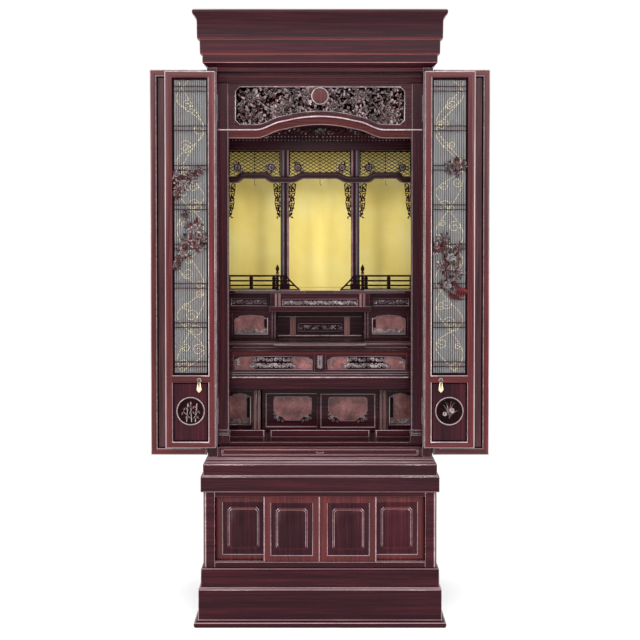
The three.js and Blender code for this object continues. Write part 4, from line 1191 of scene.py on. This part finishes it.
def make_bays():
    """Between the columns: diamond lattice over a rainbow beam, peonies on its slopes, brackets under its ends."""
    luck = random.Random(9)
    low, lattice, rows = 1107, (199, 203.5), 7
    profile = [(-8.5, 195), (-8.5, 188), (-7, 185.6), (-5, 184.8), (5, 184.8), (7, 185.6), (8.5, 188), (8.5, 195)]
    for name, way in (("left", -1), ("centre", 0), ("right", 1)):
        node = f"bay_{name}"
        solid, (near, far), (_, top) = spans(node)
        x0, x1 = sorted((way * 102.3, way * 235)) if way else (-79.7, 79.7)
        b0, b1 = sorted((way * 91.3, way * 261.5)) if way else (-91, 91)
        middle, flat, slope = (way * 168.6, 27.5, 19) if way else (0, 41, 31)
        shape = Shape(WOOD["across"])
        for a, b in ((x0 + 2, middle - 1), (middle + 1, x1 - 2)):
            columns = max(1, round((b - a) / 14.3))
            shape.take(grown(
                DIAMONDS, Columns=columns, Rows=rows, Wide=(b - a) / columns, Tall=(top - low) / rows,
                Strand=1.6, Thick=2.0, Middle=((a + b) / 2, 201.0, (low + top) / 2), Finish=SHADE,
            ), SHADE)
        for xs in ((x0, x0 + 2.6), (middle - 0.8, middle + 0.8), (x1 - 2.6, x1)):
            box(shape, xs, lattice, (low, top), SHADE)
        box(shape, (x0, x1), lattice, (top - 3.4, top), SHADE)
        line = rainbow(b0, b1, middle, flat, slope)
        sweep(shape, line, profile)
        if way:
            box(shape, (x1 if way > 0 else x0, way * 261.5), lattice, (low, top))
        rod(shape, [(x, z - 7.2) for x, z in line], 0.7, 185.4, 5, PAINTED_GREY_HIGHLIGHT)
        for x, inward in ((x0, 1), (x1, -1)):
            bracket(shape, x + inward * 0.8, 1088, inward, 188.5, 193.5)
            fx, fz = x + inward * 23, 1127
            blossom(shape, fx, fz, 192, 10, 11, luck.random(), CARVED)
            petals(shape, fx, fz, 184.5, 6.5, 6, 1.5, luck.random(), PAINTED_GLINTS)
            for k in range(10):
                turn = 2 * math.pi * k / 10 + luck.uniform(-0.25, 0.25)
                leaf(
                    shape, fx + 10 * math.cos(turn), fz + 10 * math.sin(turn) * 0.8, 190 - 3 * (k % 2),
                    luck.uniform(7, 11), 3.6, turn + luck.uniform(-0.9, 0.9), 2.0, luck.uniform(-0.6, 0.6), 1.5,
                    luck.choice((CARVED, PAINTED_GLINTS, PAINTED_GLINTS)),
                )
            for k in range(5):
                cx, cz = fx + inward * (8 + 5 * k) * 0.7, fz - 9 - 1.5 * k
                curl(shape, cx, cz, 187.5, 4.0, UPWARDS, 1.1, inward, 1.1, CARVED, 8)
        hook = [(middle, 1098), (middle, 1084), (middle + 2, 1081), (middle + 4, 1083)]
        rod(shape, hook, 0.8, 188.5, 5, PAINTED_GREY_HIGHLIGHT)
        shape.points = [(min(max(x, solid[0]), solid[1]), min(max(d, near), far), z) for x, d, z in shape.points]
        finished(f"{node}_carving", shape, [node])


def make_columns():
    """Chamfered columns with a groove down the front, a painted sheen on the outer half and a painted highlight on
    the inner arris.
    """
    wood = WOOD["upright"]
    for side, s in SIDES:
        node = f"palace_column_{side}"
        (x0, x1), (near, far), (z0, z1) = spans(node)
        middle, wide, c = (x0 + x1) / 2, (x1 - x0) / 2 - 2, 5
        front, back = near + 2, far - 2
        plan = [
            (-wide + c, front), (-3.4, front), (-1.6, front + 1.6), (1.6, front + 1.6), (3.4, front),
            (wide - c, front), (wide, front + c), (wide, back - c), (wide - c, back), (-wide + c, back),
            (-wide, back - c), (-wide, front + c),
        ]
        loops = [[(middle + (-x if s > 0 else x), y, z) for x, y in plan] for z in (z0, z1)]
        # Painted sheen on the outer front face and chamfer, painted highlights on one groove slope and on the inner
        # arris.
        finishes = (PAINTED_SHEEN, PAINTED_GREY_HIGHLIGHT, wood, wood, wood, PAINTED_PINK_HIGHLIGHT, wood, wood, wood, wood, wood, PAINTED_SHEEN)
        shape = Shape(wood)
        nested(shape, loops, [finishes], (wood, wood))
        box(shape, (x0, x1), (near, far), (z0, z0 + 13.5))
        box(shape, (x0 + 0.8, x1 - 0.8), (near + 0.8, far - 0.8), (z0 + 13.5, z0 + 16))
        finished(f"{node}_shaft", shape, [node])


def make_railings():
    """Four slim rails through barrel struts, a newel with an onion finial, and a wing that steps down inwards."""
    newel, rail_depth, wing_depth = 109, 170, 162
    for side, s in SIDES:
        node = f"railing_{side}"
        (x0, x1), (near, far), (z0, z1) = spans(node)
        end = max(abs(x0), abs(x1))
        # Rails and struts are painted in the dark of shade; the newel keeps its brown.
        shape = Shape(SHADE)
        for z, thick in ((z0 + 2.4, 4.6), (824.5, 4.2), (836.5, 4.2), (849, 4.6)):
            rod(shape, [(s * (newel - 2), z), (s * end, z)], thick / 2, rail_depth, 8)
        barrels = [(5.4, 818), (3.4, 824), (3.4, 825), (5.4, 830), (3.4, 835.5), (3.4, 836.5), (5.4, 842), (3.4, 848)]
        for x in (118, 176, 234):
            turned(shape, (s * x, rail_depth, 0), [(3.4, z0), *barrels], 10)
        post = [(4.2, z0), (4.2, z0 + 3), (3.6, z0 + 4), (3.6, 852), (4.2, 853), (4.2, 856)]
        corners = ((-1, -1), (1, -1), (1, 1), (-1, 1))
        loops = [[(s * newel + a * r, rail_depth + b * r, z) for a, b in corners] for r, z in post]
        solid_of(shape, loops, NEWEL)
        onion = [(3.4, 856), (4.2, 857.5), (2.4, 860), (3.6, 863), (5.2, 866), (4.6, 869.5), (2.4, 874), (0.4, z1)]
        turned(shape, (s * newel, rail_depth, 0), onion, 14)
        for away, z in ((54, 814.2), (65, 825), (76, 836.5), (86, 849)):
            rod(shape, [(s * newel, z), (s * away, z)], 2.1, wing_depth, 8)
            turned(shape, (s * (away + 1), wing_depth, z), [(0.5, -2.8), (2.9, 0), (0.5, 2.8)], 8)
        slope = [(s * 51.5, 812.6), (s * 65, 825), (s * 76, 836.5), (s * 88, 850.6)]
        rod(shape, slope, 2.0, wing_depth, 8)
        strut = [(2.4, z0), (1.5, 818), (2.4, 822), (1.5, 828), (2.4, 833), (1.5, 839), (2.4, 845), (2.4, 850)]
        for x in (100, 92):
            turned(shape, (s * x, wing_depth, 0), strut, 8)
        box(shape, (s * (newel - 3.6), s * (newel + 3.6)), (160, 167), (z0, 850))
        box(shape, (s * 51, s * end), (near + 1, far - 1), (z0, z0 + 2.2), PAINTED_GREY_HIGHLIGHT)
        finished(f"{node}_rails", shape, [node])


# ---- the tiers under the hall ----


def relief_row(shape, xs, z, height, depth, pitch, finish=PAINTED_GLINTS):
    """Foliage scrolls along a sunk strip, turned this way and that."""
    x0, x1 = xs
    count = max(2, round((x1 - x0) / pitch))
    step = (x1 - x0) / count
    motif = scroll(step, height, max(0.8, height * 0.075))
    motif_row(shape, motif, count, (x0 + step / 2, depth, z), (step, 0, 0), math.pi, finish)


def frame_line(shape, outline, depth, radius, finish=PAINTED_GREY_HIGHLIGHT):
    rod(shape, outline, radius, depth, 6, finish, closed=True)


def cusped_outline(xs, zs, end):
    """A window with upright sides, stepped shoulders and a brace-shaped head."""
    (a, b), (z0, z1) = sorted(xs), zs
    shoulder = [(0, 1.15), (0.25, 0.8), (0.8, 0.66), (1.1, 0.32), (1.9, 0.2)]
    left = [(a + x * end, z1 - down * end) for x, down in shoulder]
    right = [(b - x * end, z1 - down * end) for x, down in reversed(shoulder)]
    return [(a, z0), *left, ((a + b) / 2, z1), *right, (b, z0)]


def chamfered_outline(xs, zs, c):
    (a, b), (z0, z1) = sorted(xs), zs
    return [(a + c, z0), (b - c, z0), (b, z0 + c), (b, z1 - c), (b - c, z1), (a + c, z1), (a, z1 - c), (a, z0 + c)]


def fill_both(finish, middle, half, zs, depths):
    """One field on the left and one on the right, for dressed()."""
    return [(finish, (s * middle - half, s * middle + half), zs, depths) for _, s in SIDES]


def window_and_post(shape, xs, zs, depths, post, panel):
    """A cusped window's bead, and at its inner side a pale post painted as a highlight and a dark panel painted as
    shade.
    """
    near, far = depths
    frame_line(shape, cusped_outline(xs, zs, 11), near, 0.9)
    plate(shape, panel, (near + 0.7, far), SHADE)
    rod(shape, post, 1.3, near + 0.3, 6, PAINTED_PALE_HIGHLIGHT)


def make_tiers():
    wood = WOOD["across"]
    dressed("hall_floor", POLISHED, PAINTED_GREY_HIGHLIGHT, 0.8, PAINTED_RED_REFLECTION)
    dressed("step_board", wood, PAINTED_GREY_HIGHLIGHT, 0.8, PAINTED_RED_REFLECTION)
    ends = fill_both(NEWEL, 108, 8, (771, 804), (148, 150))
    dressed("relief_casing", wood, PAINTED_GREY_HIGHLIGHT, 0.4, PAINTED_RED_REFLECTION, ends, whole_faces=False)
    fields = fill_both(BURL, 176, 46, (700, 748), (173, 178)) + fill_both(NEWEL, 70, 8, (690, 741), (222, 224))
    dressed("middle_row", wood, PAINTED_GREY_HIGHLIGHT, 0.5, fills=fields)
    dressed("drawer_band", wood, PAINTED_GREY_HIGHLIGHT, 0.8, PAINTED_RED_REFLECTION, fill_both(BURL, 117, 101, (613, 650), (113, 118)))
    fields = fill_both(NEWEL, 162.5, 9, (446, 553), (184, 186)) + fill_both(BURL, 207, 30, (460, 548), (193, 200))
    for side, _ in SIDES:
        dressed(f"cupboard_panel_{side}", WOOD["upright"], PAINTED_GREY_HIGHLIGHT, 0.6, fills=fields)
    for part in ("left", "centre", "right"):
        dressed(f"floor_bar_{part}", wood, PAINTED_PINK_HIGHLIGHT, 1.1)

    carving = Shape(CARVED)
    for xs, depth in (((-95, 95), 153.0), ((-228, -138), 183.0), ((138, 228), 183.0)):
        relief_row(carving, xs, 781, 15, depth, 20)
        frame_line(carving, chamfered_outline((xs[0] - 1, xs[1] + 1), (771.6, 790.4), 3), depth - 2.2, 0.5)
    relief_row(carving, (-53, 53), 712.7, 16, 223.0, 18)
    frame_line(carving, chamfered_outline((-57, 57), (702.5, 723), 3), 223.0, 0.5)
    # Long lines across the tiers: painted highlights, grey and pale, and one painted red reflection.
    for z, half, depth, radius, finish in (
        (740.5, 108, 224.6, 0.7, PAINTED_GREY_HIGHLIGHT), (691, 108, 224.6, 1.5, PAINTED_PALE_HIGHLIGHT),
        (656.5, 222, 109.2, 0.8, PAINTED_RED_REFLECTION), (607, 222, 107.5, 0.8, PAINTED_GREY_HIGHLIGHT),
        (602.5, 222, 104.2, 0.8, PAINTED_GREY_HIGHLIGHT), (596, 222, 100.2, 1.5, PAINTED_PALE_HIGHLIGHT),
    ):
        rod(carving, [(-half, z), (half, z)], radius, depth, 6, finish)
    frame_line(carving, chamfered_outline((-222, 222), (661.2, 671.6), 3.5), 107.2, 0.7)
    relief_row(carving, (-78, 78), 666.4, 8, 108.4, 12, CARVED)
    for _, s in SIDES:
        middle_panel(carving, s)
        drawer_field(carving, s)
        cupboard_panel(carving, s)
        for k in range(6):
            turn = math.pi / 2 - s * 0.9
            leaf(carving, 0, 618 + 5.4 * k, 109.4, 9.5, 5.5, turn, 2.8, 0.3, 1.2, PAINTED_GLINTS)
    finished("tier_carving", carving)


def middle_panel(shape, s):
    """The middle row's cusped window, its relief, and two thin uprights beside it."""
    xs = (s * 134, s * 219)
    panel = [(s * 134.5, 716), (s * 143, 716), (s * 143, 736), (s * 134.5, 740)]
    window_and_post(shape, xs, (699.3, 748.2), (170.3, 173.4), [(s * 134.6, 702), (s * 134.6, 741)], panel)
    for x in (115.5, 122.8):
        rod(shape, [(s * x, 689), (s * x, 757)], 0.8, 167.4, 6, PAINTED_GREY_HIGHLIGHT)
    relief_row(shape, (min(xs) + 4, max(xs) - 4), 707.5, 17, 171.2, 17)


def drawer_field(shape, s):
    """A long cusped field of the drawer band: a cloud of painted shade behind two rows of relief, and leaves at its
    ends.
    """
    x0, x1 = sorted((s * 19, s * 215))
    frame_line(shape, cusped_outline((x0, x1), (615, 648), 10), 110.6, 0.7)
    cloud = [(x0 + 52, 616), (x1 - 52, 616), (x1 - 42, 625), (x1 - 58, 636), (x1 - 50, 647.5)]
    cloud += [(x0 + 50, 647.5), (x0 + 58, 636), (x0 + 42, 625)]
    plate(shape, cloud, (112.8, 114.5), SHADE)
    relief_row(shape, (x0 + 40, x1 - 40), 625, 18, 111.6, 19)
    relief_row(shape, (x0 + 44, x1 - 44), 640, 13, 111.8, 22)
    for x, way in ((x0 + 4, 0.2), (x1 - 4, math.pi - 0.2)):
        for k in (-1, 0, 1):
            leaf(shape, x, 632 + 3 * k, 111.2, 12, 5, way + 0.5 * k, 2.6, 0.3, 1.0, PAINTED_GLINTS)


def cupboard_panel(shape, s):
    """The cusped window beside a cupboard door, with relief along its foot."""
    xs = (s * 179, s * 235)
    panel = [(s * 179.5, 482), (s * 189, 482), (s * 189, 532), (s * 179.5, 537)]
    window_and_post(shape, xs, (462.3, 545.3), (189.9, 193.2), [(s * 179.8, 466), (s * 179.8, 535)], panel)
    relief_row(shape, (min(xs) + 3, max(xs) - 3), 472, 20, 190.8, 17)


def cupboard_door(node):
    """A small sliding door: a flat frame, a line of painted highlight, and a burl field with carved corners touched
    with painted glints.
    """
    xs, (near, far), zs = spans(node)
    wood = WOOD["across"]
    shape = Shape(wood)
    steps = [(0, 1.0), (0.8, 0.0), (9, 0.0), (10, 0.9), (11, 0.9), (11.8, 1.7)]
    loops = [rectangle(xs, zs, 0, far)] + [rectangle(xs, zs, inset, near + depth) for inset, depth in steps]
    nested(shape, loops, [wood, PAINTED_GREY_HIGHLIGHT, wood, PAINTED_GREY_HIGHLIGHT, PAINTED_GREY_HIGHLIGHT, PAINTED_GREY_HIGHLIGHT], (wood, wood))
    a, b, c, d = xs[0] + 30, xs[1] - 30, zs[0] + 27, zs[1] - 18
    outline = [
        (a + 30, c), (b - 30, c), (b - 22, c + 9), (b - 6, c + 16), (b, c + 26), (b, d - 8), (b - 7, d),
        (a + 7, d), (a, d - 8), (a, c + 26), (a + 6, c + 16), (a + 22, c + 9),
    ]
    plate(shape, outline, (near + 0.7, near + 2.2), BURL)
    frame_line(shape, outline, near + 0.7, 0.7)
    for s, x in ((1, a), (-1, b)):
        for k, (dx, dz, r) in enumerate(((4, 7, 5), (13, 2, 5), (3, 18, 4), (22, -1, 3.5), (10, 11, 3.5))):
            curl(shape, x + s * dx, c + dz, near + 0.9, r, UPWARDS * k, 1.2, s, 0.8, PAINTED_GLINTS, 9)
        turn = 0.6 if s > 0 else math.pi - 0.6
        leaf(shape, x + s * 6, c + 6, near + 0.7, 13, 5, turn, 1.4, 0.4, 0.2, PAINTED_GLINTS)
        curl(shape, x + s * 3.5, d - 3.5, near + 0.9, 4, 0, 1.1, s, 0.8, PAINTED_GLINTS, 9)
    shape.points = [(x, max(depth, near), z) for x, depth, z in shape.points]
    finished(f"{node}_leaf", shape, [node], body_of(node))


# ---- the carcass ----


def lower_door(node):
    """A sliding door: a red frame, a groove, and a raised field with cut corners."""
    xs, (near, far), zs = spans(node)
    steps = [
        (0, far - near, 0.3), (0, 2.0, 0.3), (1.0, 0.7, 0.3), (2.6, 0, 0.3), (17, 0, 0.3), (18.2, 1.0, 0.3),
        (19.2, 2.2, 0.3), (30.5, 2.2, 6), (31.5, 1.3, 6), (34, 1.3, 5.4), (35.2, 0.4, 5.2),
    ]
    loops = [
        [(x, near + depth, z) for x, z in chamfered_outline((xs[0] + m, xs[1] - m), (zs[0] + m, zs[1] - m), c)]
        for m, depth, c in steps
    ]
    # The grey and pink bands are painted highlights; the red edge along the raised field's top is a painted
    # reflection.
    red, dark, grey, pink = SIDE_GRAIN, WOOD["upright"], PAINTED_GREY_HIGHLIGHT, PAINTED_PINK_HIGHLIGHT
    right = pink if node.endswith("door_right") or node.endswith("door_left") else red
    left = pink if node == "lower_door_left" else red
    rim = (red, red, right, red, red, red, left, red)
    groove = (grey, grey, grey, grey, red, grey, grey, grey)
    raised = (red, red, pink, pink, red, pink, pink, red)
    top = (red, red, pink, grey, PAINTED_RED_REFLECTION, grey, pink, red)
    shape = Shape(red)
    nested(shape, loops, [red, rim, rim, red, groove, dark, dark, raised, dark, top], (red, dark))
    finished(f"{node}_leaf", shape, [node], body_of(node))


def make_carcass():
    across, upright = WOOD["across"], WOOD["upright"]
    # The arrises carry painted highlights in pink or grey, or a painted red reflection, which also goes on those that
    # look down.
    for node in ("plinth", "ledge", "cornice"):
        dressed(node, across, PAINTED_PINK_HIGHLIGHT, 1.0, PAINTED_RED_REFLECTION)
    dressed("frieze_rail", across, RED_WOOD["across"], 0.8)
    for node in ("lower_floor", "upper_floor", "roof"):
        dressed(node, across, PAINTED_RED_REFLECTION, 0.8)
    for node in ("lower_back", "upper_back"):
        dressed(node, upright, PAINTED_RED_REFLECTION, 0.8)
    for side, _ in SIDES:
        dressed(f"lower_side_{side}", upright, PAINTED_RED_REFLECTION, 1.0)
        dressed(f"side_{side}", upright, PAINTED_RED_REFLECTION, 1.0)
        dressed(f"corner_post_{side}", upright, PAINTED_GREY_HIGHLIGHT, 0.8)
        dressed(f"front_stile_{side}", upright, PAINTED_GREY_HIGHLIGHT, 0.9)
    dressed("lower_front_frame", across, PAINTED_PINK_HIGHLIGHT, 1.3, PAINTED_RED_REFLECTION, slants=True)
    dressed("pull_out_board", across, PAINTED_PINK_HIGHLIGHT, 0.7, PAINTED_RED_REFLECTION)
    for place in ("far_left", "left", "right", "far_right"):
        lower_door(f"lower_door_{place}")


def make_gold_screen():
    """A board behind the hall, gilded up to the height of the crest and painted dark as shade above it."""
    xs, (near, far), (z0, z1) = spans("gold_screen")
    gilded = spans("crest_beam")[2][1] - 6
    shape = Shape(GOLD)
    box(shape, xs, (near, near + 1), (z0, gilded))
    box(shape, xs, (near + 1, far), (z0, z1), SHADE)
    finished("gold_screen_board", shape, ["gold_screen"])


make_carcass()
make_gold_screen()
make_arch()
make_transom()
make_crest()
make_bays()
make_columns()
make_railings()
make_tiers()
for door in ("cupboard_door_left", "cupboard_door_right"):
    cupboard_door(door)
make_doors()


# ---- floor, light and camera ----


def make_floor():
    mesh = bpy.data.meshes.new("floor")
    reach = 30.0
    corners = [(-reach, -reach, 0), (reach, -reach, 0), (reach, reach, 0), (-reach, reach, 0)]
    mesh.from_pydata(corners, [], [[0, 1, 2, 3]])
    material, tree, shader = new_material("pale_floor")
    stops = [(0.3, (0.93, 0.93, 0.93)), (0.7, (0.96, 0.96, 0.96))]
    feed(tree, shader, {"Base Color": ramp_of(tree, noise_at(tree, (2, 2, 2)), stops), "Roughness": 0.9})
    mesh.materials.append(material)
    put("floor", mesh)


def panel_light(name, place, aim, size, power):
    data = bpy.data.lights.new(name, "AREA")
    data.shape = "RECTANGLE"
    data.size, data.size_y = size
    data.energy = power
    light = put(name, data)
    light.location = place
    light.rotation_euler = (Vector(aim) - Vector(place)).to_track_quat("-Z", "Y").to_euler()


def make_light():
    world = bpy.data.worlds.new("studio")
    world.use_nodes = True
    feed(world.node_tree, world.node_tree.nodes["Background"], {"Color": (1, 1, 1, 1), "Strength": 1.06})
    bpy.context.scene.world = world
    for side, s in SIDES:
        panel_light(f"window_{side}", (s * 2.4, -1.6, 1.2), (0, -0.1, 0.8), (1.0, 2.6), 45)
        panel_light(f"lamp_{side}", (s * 1.95, -3.8, 1.5), (0, 0.1, 0.95), (0.6, 0.9), 38)
    panel_light("lamp_in_front", (0, -3.4, 2.2), (0, 0.2, 0.85), (3.2, 1.2), 60)
    panel_light("lamp_above", (0, -1.8, 3.4), (0, 0, 0.9), (2.6, 0.8), 25)


def make_camera():
    """A long lens, a little above the middle of the cabinet and tilted slightly down."""
    away, height, tilt = 3.24, 0.9793, 1.61
    camera = bpy.data.cameras.new("camera")
    camera.lens = 74.9
    camera.sensor_width = 36.0
    camera.shift_y = -0.09
    eye = put("camera", camera)
    eye.location = ((cad_box[0] + cad_box[1]).x / 2, FRONT - away, height)
    eye.rotation_euler = (math.radians(90 - tilt), 0, 0)
    bpy.context.scene.camera = eye


make_floor()
make_light()
make_camera()
bpy.context.scene.view_settings.view_transform = "Standard"
